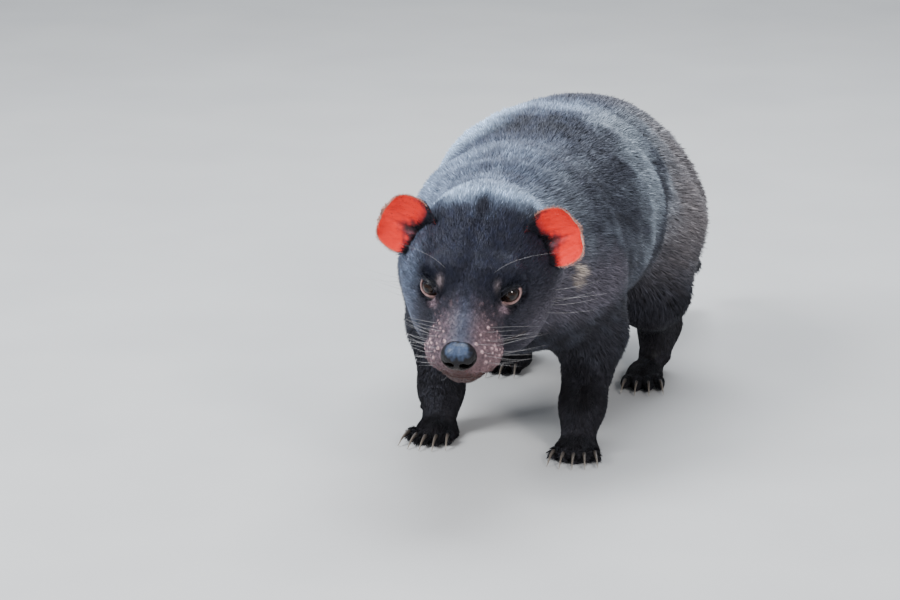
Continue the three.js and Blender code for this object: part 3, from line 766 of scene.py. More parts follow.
skin_head = to_head(skin_points)
skin_look = marks_and_painted_light(skin_points)
muzzle_share = smooth(-skin_head[:, 1], 62, 84) * fade(np.abs(skin_head[:, 0]), 34, 46)
skin_look = skin_look * (0.5 + 0.5 * muzzle_share)[:, None]
skin_look = mix(skin_look, [0.62, 0.40, 0.41], 0.95 * smooth(bump_tone, 0.13, 0.5))
skin_look = mix(skin_look, [0.014, 0.012, 0.016], 0.9 * smooth(lid_bare, 0.3, 0.8))
skin_look = mix(skin_look, PINK, (0.82 + 0.16 * waves(skin_points, 4, 61)) * smooth(lid_pink, 0.25, 0.8))
rough_lip = from_line(skin_head, MOUTH)[0]
skin_look = mix(skin_look, [0.035, 0.016, 0.014], 0.85 * fade(rough_lip, 0.5, 2.0))
sole = smooth(-skin_normal[:, 2], 0.5, 0.9) * fade(skin_points[:, 2], 5, 12)
skin_look = mix(skin_look, [0.045, 0.032, 0.032], sole)


def grey(value):
    return (value, value, value)


class Look:
    """A material, all from nodes. Its constants are given by socket, with _ for a space."""

    def __init__(self, name, **values):
        self.material = bpy.data.materials.new(name)
        self.material.use_nodes = True
        tree = self.material.node_tree
        self.nodes, self.link = tree.nodes, tree.links.new
        self.shader = next(n for n in self.nodes if n.type == "BSDF_PRINCIPLED")
        for key, value in values.items():
            self.shader.inputs[key.replace("_", " ")].default_value = value

    def node(self, kind, **values):
        made = self.nodes.new("ShaderNode" + kind)
        for key, value in values.items():
            made.inputs[key].default_value = value
        return made

    def noise(self, scale, detail=3.0, stretch=None):
        texture = self.node("TexNoise", Scale=scale, Detail=detail)
        place = self.node("TexCoord").outputs["Object"]
        if stretch:
            mapping = self.node("Mapping", Scale=stretch)
            self.link(place, mapping.inputs["Vector"])
            place = mapping.outputs["Vector"]
        self.link(place, texture.inputs["Vector"])
        return texture.outputs["Fac"]

    def ramp(self, value, *stops):
        made = self.node("ValToRGB")
        elements = made.color_ramp.elements
        while len(elements) < len(stops):
            elements.new(0.5)
        for element, (place, colour) in zip(elements, stops):
            element.position = place
            element.color = (*colour, 1)
        self.link(value, made.inputs["Fac"])
        return made.outputs["Color"]

    def grain(self, scale, detail, low, high=1.0, stretch=None):
        """Noise as greys from low to high."""
        return self.ramp(self.noise(scale, detail, stretch), (0.3, grey(low)), (0.7, grey(high)))

    def attribute(self, name, output="Color"):
        made = self.node("Attribute")
        made.attribute_name = name
        return made.outputs[output]

    def paint(self, colour, *factors):
        """The colour of the surface, multiplied by the factors."""
        for factor in factors:
            made = self.node("Mix")
            made.data_type = "RGBA"
            made.blend_type = "MULTIPLY"
            made.inputs["Factor"].default_value = 1
            self.link(colour, made.inputs["A"])
            self.link(factor, made.inputs["B"])
            colour = made.outputs["Result"]
        self.link(colour, self.shader.inputs["Base Color"])

    def gloss(self, roughness):
        self.link(roughness, self.shader.inputs["Roughness"])

    def bump(self, *heights):
        """Bumps, each given as its height, strength and distance."""
        last = None
        for height, strength, distance in heights:
            made = self.node("Bump", Strength=strength, Distance=distance)
            self.link(height, made.inputs["Height"])
            if last:
                self.link(last, made.inputs["Normal"])
            last = made.outputs["Normal"]
        self.link(last, self.shader.inputs["Normal"])


HAIR = Look(
    "coat_hair",
    Roughness=0.5,
    Sheen_Weight=0.08,
    Sheen_Roughness=0.45,
    Sheen_Tint=(0.75, 0.86, 1, 1),
    Specular_IOR_Level=0.36,
    Specular_Tint=(0.78, 0.80, 1, 1),
)
root_to_tip = HAIR.ramp(HAIR.attribute("along", "Fac"), (0, grey(0.30)), (0.42, grey(0.85)), (1, grey(1)))
HAIR.paint(HAIR.attribute("look"), root_to_tip, HAIR.grain(700, 2.0, 0.8))

SKIN = Look("skin", Roughness=0.5, Sheen_Weight=0.04, Sheen_Roughness=0.4, Specular_IOR_Level=0.3)
SKIN.paint(SKIN.attribute("look"), SKIN.grain(450, 4.0, 0.72))
SKIN.gloss(SKIN.grain(220, 3.0, 0.36, 0.58))
fur, pores = SKIN.noise(900, 3.0, (1, 0.18, 0.6)), SKIN.noise(1300, 2.0)
SKIN.bump((fur, 0.5, 0.0006), (pores, 0.35, 0.0004))

skin = mesh_object("skin", skin_points, skin_triangles, SKIN, look=skin_look)


def unwrap(made):
    made.data.uv_layers.new(name="OFBake")
    bpy.ops.object.select_all(action="DESELECT")
    bpy.context.view_layer.objects.active = made
    made.select_set(True)
    bpy.ops.object.mode_set(mode="EDIT")
    bpy.ops.mesh.select_all(action="SELECT")
    bpy.ops.uv.smart_project(angle_limit=math.radians(66), island_margin=0.002, scale_to_bounds=True)
    bpy.ops.object.mode_set(mode="OBJECT")
    uv = np.zeros(len(made.data.loops) * 2, np.float32)
    made.data.uv_layers["OFBake"].data.foreach_get("uv", uv)
    return uv.reshape(-1, 3, 2)


skin_uv = unwrap(skin)


# Coat: thin closed blades of four faces, rooted in the skin and bent back along it
PATCH = 0.003
BLADE = np.array([[0, 1, 2], [3, 2, 1], [0, 2, 3], [0, 3, 1]])
PATCH_CORNERS = np.array([[0, -0.5], [-0.5, 0], [0.5, 0], [0, 0.5]]) * PATCH


def blades(name, root, normal, lie, sizes, look, uv):
    """One blade from each root. Sizes are columns of length, width, height of the tip and roll."""
    long, wide, high, roll = sizes.T[..., None]
    across = unit(np.cross(normal, lie))
    across = across * np.cos(roll) + normal * np.sin(roll)
    sink = 0.5 + 0.04 * long
    start = root - normal * sink
    middle = root + lie * long * 0.42 + normal * (high * 0.62 + 0.12)
    tip = root + lie * np.sqrt(np.maximum(long**2 - high**2, 0.1)) + normal * high
    points = np.stack([start, middle - across * wide / 2, middle + across * wide / 2, tip], 1).reshape(-1, 3)
    points[:, 2] = np.maximum(points[:, 2], 0.2)
    faces = (np.arange(len(root))[:, None, None] * 4 + BLADE).reshape(-1, 3)
    faces = outward(points, faces)
    along = np.tile([0.0, 0.45, 0.45, 1.0], len(root))
    made = mesh_object(name, points, faces, HAIR, False, look=np.repeat(look, 4, 0), along=along)
    corners = (uv[:, None] + PATCH_CORNERS).clip(0.001, 0.999).reshape(-1, 2)
    layer = made.data.uv_layers.new(name="OFBake")
    layer.data.foreach_set("uv", corners[faces.ravel()].astype(np.float32).ravel())
    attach(made, "root")
    return made


def from_eye(q):
    """The ways from the nearer eye."""
    return q - EYE * np.where(q[:, :1] * [1, 0, 0] < 0, -1.0, 1.0)


def tail_way(p):
    way, best = np.zeros_like(p), np.full(len(p), 1e9)
    for a, b in zip(TAIL[:-1], TAIL[1:]):
        gap = p - a - np.clip(dot(p - a, b - a) / dot(b - a, b - a), 0, 1)[:, None] * (b - a)
        nearer = length(gap) < best
        best[nearer] = length(gap)[nearer]
        way[nearer] = unit(b - a)
    return way


def lie_of_coat(p, normal):
    """Which way the coat lies, along the skin."""
    q = to_head(p)
    way = np.stack([0.003 * (p[:, 0] - swing(p[:, 1])), np.ones(len(p)), -0.45 + 0 * p[:, 0]], 1)
    legs = fade(p[:, 2], 70, 130)[:, None]
    way = way * (1 - legs) + np.array([0, 0.3, -1.0]) * legs
    feet = fade(p[:, 2], 14, 24)[:, None]
    way = way * (1 - feet) + np.array([0, -0.9, -0.5]) * feet
    tail = smooth(p[:, 1], 222, 262)[:, None]
    way = way * (1 - tail) + tail_way(p) * tail
    crown = q - np.array([0, -122, -22])
    from_nose = unit(crown) @ HEAD_TURN.T
    head = fade(q[:, 1], 10, 70)[:, None] * smooth(p[:, 1], -100, -140)[:, None]
    way = way * (1 - head) + from_nose * head
    from_lids = from_eye(q)
    near = fade(length(from_lids), 11, 19)[:, None]
    way = way * (1 - near) + (unit(from_lids) @ HEAD_TURN.T) * near * 1.6
    way = way + np.stack([waves(p, 24, 21), waves(p, 24, 22), waves(p, 24, 23)], 1) * 0.10 * (1 - 0.6 * head)
    way = way - normal * dot(way, normal)[:, None]
    return unit(way)


def coat_sizes(p):
    """Length and width of the tufts, and how much of the usual number grows, by place."""
    _, y, z = p.T
    _, qy, _ = to_head(p).T
    nose_to_crown = smooth(qy, -88, -50)
    head = fade(qy, 0, 60)
    long = 11.5 + 5 * smooth(y, 60, 200) + 5 * smooth(y, 235, 290)
    long = long * (0.42 + 0.58 * smooth(z, 30, 110)) * (0.7 + 0.3 * smooth(z, 8, 26))
    on_head = 2.3 + 3.9 * nose_to_crown + 3.0 * smooth(qy, -45, 20)
    long = long * (1 - head) + on_head * head
    wide = np.clip(long * 0.060, 0.26, 0.78)
    share = 0.08 + 0.92 * smooth(qy, -92, -62)
    under = 0.36 + 0.64 * smooth(z, 40, 120)
    return long, wide, np.where(qy < 60, share, under)


TUFTS = 335000


def grow_coat():
    corner = skin_points[skin_triangles]
    middle = corner.mean(1)
    face_normal = np.cross(corner[:, 1] - corner[:, 0], corner[:, 2] - corner[:, 0])
    area = length(face_normal) / 2
    long, wide, share = coat_sizes(middle)
    q = to_head(middle)
    bald = (length(from_eye(q)) < EYE_BOWL + 0.3) & (lid_bare[skin_triangles].max(1) == 0)
    bald |= lid_bare[skin_triangles].mean(1) > 0.3
    bald |= nose_ball(q) < 1.5
    bald |= from_line(q, MOUTH)[0] < 2.4
    bald |= (unit(face_normal)[:, 2] < -0.6) & (middle[:, 2] < 9)
    bald |= middle[:, 2] < 1.2
    weight = area * share / (long * wide) * ~bald
    chosen = np.sort(rng.choice(len(weight), TUFTS, p=weight / weight.sum()))
    u, v = rng.random(TUFTS), rng.random(TUFTS)
    swap = u + v > 1
    u, v = np.where(swap, 1 - u, u), np.where(swap, 1 - v, v)
    shares = np.stack([1 - u - v, u, v], 1)[..., None]
    root = (corner[chosen] * shares).sum(1)
    normal = unit((skin_normal[skin_triangles[chosen]] * shares).sum(1))
    uv = (skin_uv[chosen] * shares).sum(1)
    lie = lie_of_coat(root, normal)
    across = np.cross(normal, lie)
    lie = unit(lie + across * rng.normal(0, 0.13, TUFTS)[:, None])
    long, wide, _ = coat_sizes(root)
    long = long * rng.uniform(0.72, 1.2, TUFTS)
    depth = coat_depth(root)
    astray = (rng.random(TUFTS) < 0.06) * smooth(root[:, 2], 90, 150) * smooth(root[:, 1], -60, 100)
    high = np.minimum(depth * (rng.uniform(0.5, 0.98, TUFTS) + 0.35 * astray), long * 0.6)
    sizes = np.stack([long, wide * rng.uniform(0.8, 1.2, TUFTS), high, rng.normal(0, 0.3, TUFTS)], 1)
    clump = waves(root, 7, 31) * 0.11 + waves(root, 17, 32) * 0.08
    tone = np.exp(rng.normal(-0.08, 0.22, TUFTS) + clump)
    tone = tone * np.where(rng.random(TUFTS) < 0.14, 1.8, 1.0)
    on_face = fade(to_head(root)[:, 1], 0, 50)
    tone = tone * np.where(rng.random(TUFTS) < 0.10 * on_face, 1.9, 1.0) * (1 - 0.10 * on_face)
    look = marks_and_painted_light(root) * tone[:, None]
    return root, normal, lie, sizes, look, uv


root, normal, lie, sizes, look, uv = grow_coat()
root_head = to_head(root)
left = root[:, 0] - swing(root[:, 1]) > 0
on_head = (root_head[:, 1] < 40) & (root[:, 1] < -130)
on_tail = (root[:, 1] > 232) | ((root[:, 1] > 215) & (root[:, 2] < 150) & (np.abs(root[:, 0] - 40) < 30))
root_y, low = root[:, 1], root[:, 2] < 92
where = {
    "coat_face_left": on_head & left & (root_head[:, 1] < -30),
    "coat_face_right": on_head & ~left & (root_head[:, 1] < -30),
    "coat_crown_left": on_head & left & (root_head[:, 1] >= -30),
    "coat_crown_right": on_head & ~left & (root_head[:, 1] >= -30),
    "coat_tail": on_tail & ~on_head,
}
for name, there in (("fore", root_y < 40), ("hind", root_y >= 40)):
    leg_hair = low & there & ~on_head & ~on_tail
    where[f"coat_{name}_leg_left"] = leg_hair & left
    where[f"coat_{name}_leg_right"] = leg_hair & ~left
rest = ~np.logical_or.reduce(list(where.values()))
STRETCHES = ("neck", -400, -60), ("shoulders", -60, 60), ("loins", 60, 150), ("rump", 150, 400)
for name, low_y, high_y in STRETCHES:
    between = rest & (root_y >= low_y) & (root_y < high_y)
    where[f"coat_{name}_left"] = between & left
    where[f"coat_{name}_right"] = between & ~left
for name, chosen in where.items():
    blades(name, *(a[chosen] for a in (root, normal, lie, sizes, look, uv)))


# Eyes: dark glossy balls with a raised cornea
def eye_ball(name, side):
    rings, steps_round = 56, 72
    angle = np.linspace(0, math.pi, rings + 1)
    around = np.linspace(0, 2 * math.pi, steps_round, endpoint=False)
    gaze = unit(mirrored(EYE_WAY, side) + [0, -0.12, -0.02])
    right = unit(np.cross(gaze, [0, 0, 1.0]))
    up = np.cross(right, gaze)
    radius = EYE_RADIUS - 0.1 + 0.75 * hump(angle, 0, 0.42)
    inner = angle[1:-1, None, None]
    ring = np.cos(around)[None, :, None] * right + np.sin(around)[None, :, None] * up
    shell = ((np.cos(inner) * gaze + np.sin(inner) * ring) * radius[1:-1, None, None]).reshape(-1, 3)
    points = np.concatenate([[gaze * radius[0]], shell, [-gaze * radius[-1]]]) + mirrored(EYE, side)
    faces = outward(points, capped_faces(rings - 2, steps_round, 1, 0, len(points) - 1))
    theta = np.concatenate([[0], np.repeat(angle[1:-1], steps_round), [math.pi]])
    turn = np.concatenate([[0], np.tile(around, rings - 1), [0]])
    iris = np.array([[0.021, 0.010, 0.006]]) * (1 + 0.35 * np.sin(turn * 23) * np.sin(turn * 9 + 1))[:, None]
    look = mix(iris, [0.004, 0.004, 0.005], fade(theta, 0.20, 0.27))
    look = mix(look, [0.009, 0.006, 0.005], smooth(theta, 0.50, 0.62))
    look = mix(look, [0.028, 0.015, 0.012], smooth(theta, 0.80, 1.05))
    return mesh_object(name, from_head(points), faces, EYE_LOOK, look=look)


EYE_LOOK = Look("eye", Roughness=0.04, Specular_IOR_Level=0.27)
EYE_LOOK.paint(EYE_LOOK.attribute("look"), EYE_LOOK.grain(1500, 2.0, 0.75))
EYE_LOOK.bump((EYE_LOOK.noise(500, 1.0), 0.02, 0.0004))
eyes = [eye_ball("left_eyeball", 1), eye_ball("right_eyeball", -1)]


# Nose pad, with comma-shaped nostrils opening to the sides and the groove between them
def tube_distance(q, path, radius_from, radius_to):
    radii = radius_from + (radius_to - radius_from) * np.arange(len(path)) / (len(path) - 1)
    return np.minimum.reduce([limb(q, path[i], path[i + 1], *radii[i : i + 2]) for i in range(len(path) - 1)])


NOSTRIL = NOSE + [[4.6, -16.5, -2.0], [5.8, -10.5, -3.0], [8.6, -7, -3.6], [13, -4.5, -1.8], [18, -0.5, 0.8]]
PHILTRUM = NOSE + [[0, -18.5, -5], [0, -12.5, -5], [0, -10, -10], [0, -5.5, -15]]


def nose_field(p):
    q = folded(to_head(p))
    d = nose_ball(q) - 0.5 * hump(q[:, 0], 8, 4) * hump(q[:, 2], -12, 5)
    d = d + 0.5 * hump(q[:, 0], 0, 2.2)
    d = np.maximum(d, -blend(tube_distance(q, NOSTRIL, 4.2, 1.4), d + 2.5, 1.0))
    return np.maximum(d, 0.4 - tube_distance(q, PHILTRUM, 1.0, 1.0))


def nose_piece():
    low, high = from_head(NOSE) - 22, from_head(NOSE) + 22
    axes = [np.arange(low[n], high[n], 0.75) for n in range(3)]
    points, quads = surface_net(nose_field, axes)
    points = drawn_to(nose_field, points, 2, 0.5)
    triangles = np.concatenate([quads[:, [0, 1, 2]], quads[:, [0, 2, 3]]])
    q = folded(to_head(points))
    pebbles = 0.10 * waves(points, 1.9, 41)
    points = points + normals_of(points, triangles) * pebbles[:, None]
    look = np.repeat([[0.006, 0.005, 0.007]], len(points), 0)
    # painted highlight: pale blue over the top of the pad stands for the sky's reflection on the wet leather
    above = (q - NOSE) @ [0, -0.45, 0.9]
    look = mix(look, [0.068, 0.098, 0.170], 0.9 * smooth(above + 0.8 * waves(points, 4, 42), 7.6, 12.0))
    look = mix(look, [0.022, 0.010, 0.008], smooth(NOSE[2] - q[:, 2], 1, 7))
    # painted shade: the nostril openings near black
    look = mix(look, [0.006, 0.004, 0.004], fade(tube_distance(q, NOSTRIL, 4.2, 1.4), 0.2, 1.2))
    return mesh_object("nose_pad", points, triangles, LEATHER, look=look)


LEATHER = Look("nose_leather", Roughness=0.4, Coat_Weight=0.06, Coat_Roughness=0.2, Specular_IOR_Level=0.22)
LEATHER.paint(LEATHER.attribute("look"), LEATHER.grain(600, 3.0, 0.7))
LEATHER.gloss(LEATHER.grain(300, 2.0, 0.30, 0.55))
LEATHER.bump((LEATHER.noise(1100, 2.0), 0.45, 0.0006))
nose = nose_piece()


# Ears: a cupped leaf with a fold across its middle and a thin rolled rim
EAR_ROOT = np.array([51.0, 0, 18])
EAR_REACH, EAR_HALF, EAR_CUP, EAR_THICK = 48, 24.5, 11, 2.6
EAR_END = 0.99
EAR_OUT = unit(np.array([0.9, 0.12, 0.42]))
EAR_FRONT = np.array([0.3, -0.82, 0.42])
EAR_FRONT = unit(EAR_FRONT - EAR_OUT * np.dot(EAR_FRONT, EAR_OUT))
EAR_UP = np.cross(EAR_FRONT, EAR_OUT)
EAR_ROWS, EAR_COLUMNS = 64, 72


def ear_half(t):
    return EAR_HALF * (0.42 + 0.66 * np.sin(math.pi / 2 * np.minimum(1, t / 0.55))) * np.sqrt(1 - t**7)


def ear_relief(t, v):
    """Folds on the front: a crease across the middle, a lobe low at the root, and fine wrinkles."""
    crease = -1.5 * hump(v, -0.10 - 0.08 * t, 0.06) * fade(t, 0.6, 0.92) * smooth(t, 0.15, 0.35)
    ridge = 1.3 * hump(v, -0.24 - 0.1 * t, 0.08) * fade(t, 0.5, 0.85) * smooth(t, 0.1, 0.3)
    lobe = 2.2 * hump(t, 0.30, 0.09) * hump(v, -0.5, 0.16)
    upper = 0.8 * hump(v, 0.22 + 0.1 * np.sin(5 * t), 0.05) * hump(t, 0.5, 0.25)
    wrinkle = 0.22 * np.sin(v * 34 + 3 * np.sin(t * 7)) * hump(t, 0.6, 0.3) + 0.15 * np.sin(v * 61 + t * 9)
    return crease + ridge + lobe + upper + wrinkle * (1 - v**4)


def ear_point(t, v, deep):
    width = ear_half(t) * v
    hollow = EAR_CUP * (1 - v * v) * (1 - 0.55 * t) + deep * (1 - 0.35 * t)
    out = EAR_REACH * t - 10
    front = EAR_CUP * 0.5 - hollow
    place = EAR_ROOT + out[..., None] * EAR_OUT + width[..., None] * EAR_UP
    return place + front[..., None] * EAR_FRONT


def ear_piece(name, side):
    t = np.sin(np.linspace(0, 1, EAR_ROWS + 1) * math.pi / 2) * EAR_END
    v = np.sin(np.linspace(-1, 1, EAR_COLUMNS + 1) * math.pi / 2)
    t, v = np.meshgrid(t, v, indexing="ij")
    edge = np.maximum(np.abs(v) ** 6, smooth(t, 0.9, 0.985) ** 2)
    front = ear_point(t, v, -ear_relief(t, v) * (1 - edge))
    back = ear_point(t, v, EAR_THICK * (0.34 + 0.66 * (1 - edge)))
    count = (EAR_ROWS + 1) * (EAR_COLUMNS + 1)
    index = np.arange(count).reshape(EAR_ROWS + 1, EAR_COLUMNS + 1)
    loop = np.concatenate([index[0, :-1], index[:-1, -1], index[-1, :0:-1], index[:0:-1, 0]])
    rim = (front.reshape(-1, 3)[loop] + back.reshape(-1, 3)[loop]) / 2
    away = rim - front.reshape(-1, 3).mean(0)
    away = unit(away - EAR_FRONT * dot(away, EAR_FRONT[None])[:, None])
    rim = rim + away * 0.55
    points = np.concatenate([front.reshape(-1, 3), back.reshape(-1, 3), rim])
    corners = index[:-1, :-1], index[:-1, 1:], index[1:, 1:], index[1:, :-1]
    a, b, c, d = (corner.ravel() for corner in corners)
    here = 2 * count + np.arange(len(loop))
    following, after = np.roll(here, -1), np.roll(loop, -1)
    faces = [(a, b, c), (a, c, d), (a + count, c + count, b + count), (a + count, d + count, c + count)]
    faces += [(after, loop, here), (after, here, following)]
    faces += [(following, here, loop + count), (following, loop + count, after + count)]
    points = mirrored(points, side)
    faces = outward(points, np.concatenate([np.stack(face, 1) for face in faces]))
    normal = normals_of(points, faces)
    every_t, every_v = (np.concatenate([w.ravel(), w.ravel(), w.ravel()[loop]]) for w in (t, v))
    every_edge = np.concatenate([edge.ravel(), edge.ravel(), np.ones(len(loop))])
    # painted shade: the creases across the front are darkened
    crease = hump(every_v, -0.10 - 0.08 * every_t, 0.05) + hump(every_v, 0.16, 0.03)
    crease = crease * fade(every_t, 0.7, 0.95)
    # how far the dark base reaches: the root's dark hair and dusky skin, with painted shade in the hollow of
    # the cup
    reach = 0.21 + 0.31 * hump(every_v, -0.18, 0.32)
    reach = reach + 0.04 * waves(points, 7, 52) + 0.025 * waves(points, 3.5, 53)
    reach = np.maximum(reach + 0.26 * smooth(every_v, 0.72, 0.96), 0.25)
    # the ear's own red, pushed to full red as a painted backlight, for light shining through the thin skin
    # from behind
    look = np.repeat([[1.0, 0.030, 0.019]], len(points), 0)
    look = mix(look, [0.55, 0.022, 0.020], 0.6 * crease)
    look = mix(look, [0.98, 0.026, 0.018], 0.7 * smooth(waves(points, 9, 51), 0.1, 1.0))
    look = mix(look, [0.34, 0.034, 0.038], fade(every_t - reach, 0.0, 0.24))
    look = mix(look, [0.040, 0.016, 0.020], fade(every_t - reach, -0.12, 0.12))
    look = mix(look, [0.30, 0.12, 0.15], 0.8 * hump(every_v, -0.30, 0.07) * hump(every_t, 0.36, 0.09))
    look = mix(look, [0.98, 0.27, 0.17], 0.6 * smooth(every_edge, 0.7, 1.0) * smooth(every_t, 0.35, 0.55))
    behind = np.concatenate([np.zeros(count), np.ones(count), np.zeros(len(loop))])
    look = mix(look, [0.13, 0.022, 0.022], 0.85 * behind)
    look = mix(look, [0.020, 0.018, 0.022], behind * fade(every_t, 0.28, 0.55))
    made = mesh_object(name, from_head(points), faces, EAR_SKIN, look=look)
    return made, t.ravel(), v.ravel(), points, normal


EAR_SKIN = Look(
    "ear_skin",
    Roughness=0.5,
    Subsurface_Weight=0.35,
    Subsurface_Scale=0.003,
    Subsurface_Radius=(1.0, 0.15, 0.10),
    Specular_IOR_Level=0.2,
)
veins = EAR_SKIN.ramp(EAR_SKIN.noise(160, 5.0, (0.5, 1, 2.4)), (0.34, grey(0.90)), (0.52, grey(1.0)))
EAR_SKIN.paint(EAR_SKIN.attribute("look"), veins)
EAR_SKIN.bump((EAR_SKIN.noise(900, 4.0, (1, 1, 2.5)), 0.5, 0.0006))


def ear_hair(t, v, points, normal, side):
    """Pale fringe along the rim, short down on both faces and long dark hair from the root of the ear."""
    count = len(t)
    sets = []

    def add(number, candidates, behind, way, long, wide, high, look, spread=0.25):
        spots = rng.choice(candidates, number)
        place = points[spots + behind * count]
        place = place + rng.normal(0, 0.25, place.shape)
        up = normal[spots + behind * count]
        lie = unit(way + rng.normal(0, spread, (number, 3)))
        lie = unit(lie - up * dot(lie, up)[:, None] * 0.8)
        long = long * rng.uniform(0.6, 1.3, number)
        high = high * rng.uniform(0.3, 1.0, number)
        sizes = np.stack([long, np.full(number, wide), high, rng.normal(0, 0.6, number)], 1)
        tone = np.exp(rng.normal(0, 0.2, number))[:, None]
        # each side and each face has its own quarter of the map
        uv = np.stack([t[spots], (v[spots] + 1) / 2], 1) * 0.48 + [0.5 * behind, 0.25 + 0.25 * side]
        uv = uv * 0.9 + 0.03
        sets.append((from_head(place), up @ HEAD_TURN.T, lie @ HEAD_TURN.T, sizes, np.array(look) * tone, uv))

    out, upward, front = (mirrored(w, side) for w in (EAR_OUT, EAR_UP, EAR_FRONT))
    rim = np.flatnonzero(((np.abs(v) > 0.97) & (t > 0.35)) | (t > 0.975))
    for part, way in (
        (rim[v[rim] > 0.5], out * 0.5 + upward),
        (rim[np.abs(v[rim]) <= 0.5], out),
        (rim[v[rim] < -0.5], out * 0.5 - upward),
    ):
        add(420, part, 0, way + front * 0.2, 2.9, 0.13, 0.8, [0.70, 0.42, 0.34])
    inside = np.flatnonzero((t > 0.3) & (t < 0.96))
    add(700, inside, 0, out, 2.2, 0.09, 0.3, [0.97, 0.08, 0.05], 0.5)
    back = np.flatnonzero((t > 0.3) & (t < 0.90) & (np.abs(v) < 0.92))
    add(5200, back, 1, out, 3.0, 0.30, 0.6, [0.045, 0.022, 0.024], 0.3)
    base = np.flatnonzero((t < 0.34) & (t > 0.12))
    hollow = base[(v[base] < 0.15) & (t[base] < 0.28)]
    add(420, hollow, 0, out + front * 0.4 + upward * 0.25, 8, 0.13, 3.0, [0.012, 0.011, 0.015], 0.35)
    above = base[(v[base] >= 0.05) & (t[base] < 0.22)]
    add(620, above, 0, out + front * 0.3, 4.0, 0.17, 1.1, [0.024, 0.024, 0.034], 0.3)
    add(1500, base, 1, out, 9, 0.5, 2.0, [0.022, 0.022, 0.028], 0.25)
    return [np.concatenate(parts) for parts in zip(*sets)]


ears, hair = [], []
for name, side in (("left_ear_shell", 1), ("right_ear_shell", -1)):
    made, *surface = ear_piece(name, side)
    ears.append(made)
    hair.append(ear_hair(*surface, side))
blades("coat_ears", *(np.concatenate(parts) for parts in zip(*hair)))


# Claws: curved horn, flatter beneath, one set for each foot
CLAW_SIDES, CLAW_RINGS = 12, 16


def claw(leg, toe, length_of_toe):
    tip = 15 if leg.front else 12
    t = np.linspace(0, 1, CLAW_RINGS + 1)
    y = -0.55 - t * (tip + 5) / length_of_toe
    z = 0.3 + 0.28 * np.sin(math.pi * (0.25 + 0.75 * t)) - 0.85 * t * t
    centre = leg.toe_points(toe, np.stack([0 * t, y, z], 1))
    along, across, up = frames(centre, [0, 0, 1.0])
    angle = np.linspace(0, 2 * math.pi, CLAW_SIDES, endpoint=False)
    radius = (2.3 * (1 - 0.84 * t))[:, None]
    flat = radius * (0.86 + 0.14 * np.sin(angle)[None])
    ring = centre[:, None] + (flat * np.cos(angle))[..., None] * across[:, None] * 0.86
    ring = ring + (radius * np.sin(angle) * np.where(np.sin(angle) < 0, 0.8, 1.0))[..., None] * up[:, None]
    points = np.concatenate([ring.reshape(-1, 3), centre[:1], centre[-1:] + along[-1:] * 0.6])
    points[:, 2] = np.maximum(points[:, 2], 0.7)
    first = len(points) - 2
    faces = outward(points, capped_faces(CLAW_RINGS, CLAW_SIDES, 0, first, first + 1))
    return points, faces, np.concatenate([np.repeat(t, CLAW_SIDES), [0, 1]])


HORN = Look("claw_horn", Roughness=0.34, Coat_Weight=0.15)
horn_stops = (0, (0.055, 0.045, 0.040)), (0.6, (0.16, 0.13, 0.105)), (1, (0.40, 0.35, 0.29))
streaks = HORN.grain(700, 3.0, 0.7, stretch=(1, 0.25, 1))
HORN.paint(HORN.ramp(HORN.attribute("along", "Fac"), *horn_stops), streaks)
HORN.bump((HORN.noise(900, 3.0, (1, 0.2, 1)), 0.4, 0.0003))


for leg in LEGS:
    points, faces, shade = joined([claw(leg, toe, size) for toe, size in zip(leg.toes, leg.lengths)])
    made = mesh_object(leg.name + "_claws", points, faces, HORN, along=shade)
    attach(made, "root")
    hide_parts(*(f"{leg.name}_claw_{i + 1}" for i in range(len(leg.lengths))))


# Whiskers: tapered, curved, from the pads, the cheeks, over the eyes and under the chin
def whisker(start, way, bend, size, radius):
    rings, sides = 12, 4
    t = np.linspace(0, 1, rings + 1)[:, None]
    centre = start + way * size * t + bend * size * t * t
    _, across, up = frames(centre, [0.1, 0.2, 1.0])
    angle = np.linspace(0, 2 * math.pi, sides, endpoint=False)
    r = radius * (1 - 0.82 * t)
    ring = centre[:, None] + (np.cos(angle)[None] * r)[..., None] * across[:, None]
    ring = ring + (np.sin(angle)[None] * r)[..., None] * up[:, None]
    points = ring.reshape(-1, 3)
    end = rings * sides
    ends = [[0, 2, 1], [0, 3, 2], [end, end + 1, end + 2], [end, end + 2, end + 3]]
    faces = outward(points, np.concatenate([ring_faces(rings, sides), ends]))
    return points, faces, np.repeat(t[:, 0], sides)


def beside_head(q, way):
    """The skin's place beside a point of the head, seen from outside along a way."""
    start = np.array([np.asarray(q, float) + np.asarray(way) * 60])
    return march(head_skin, start, -np.array([way], float))[0]


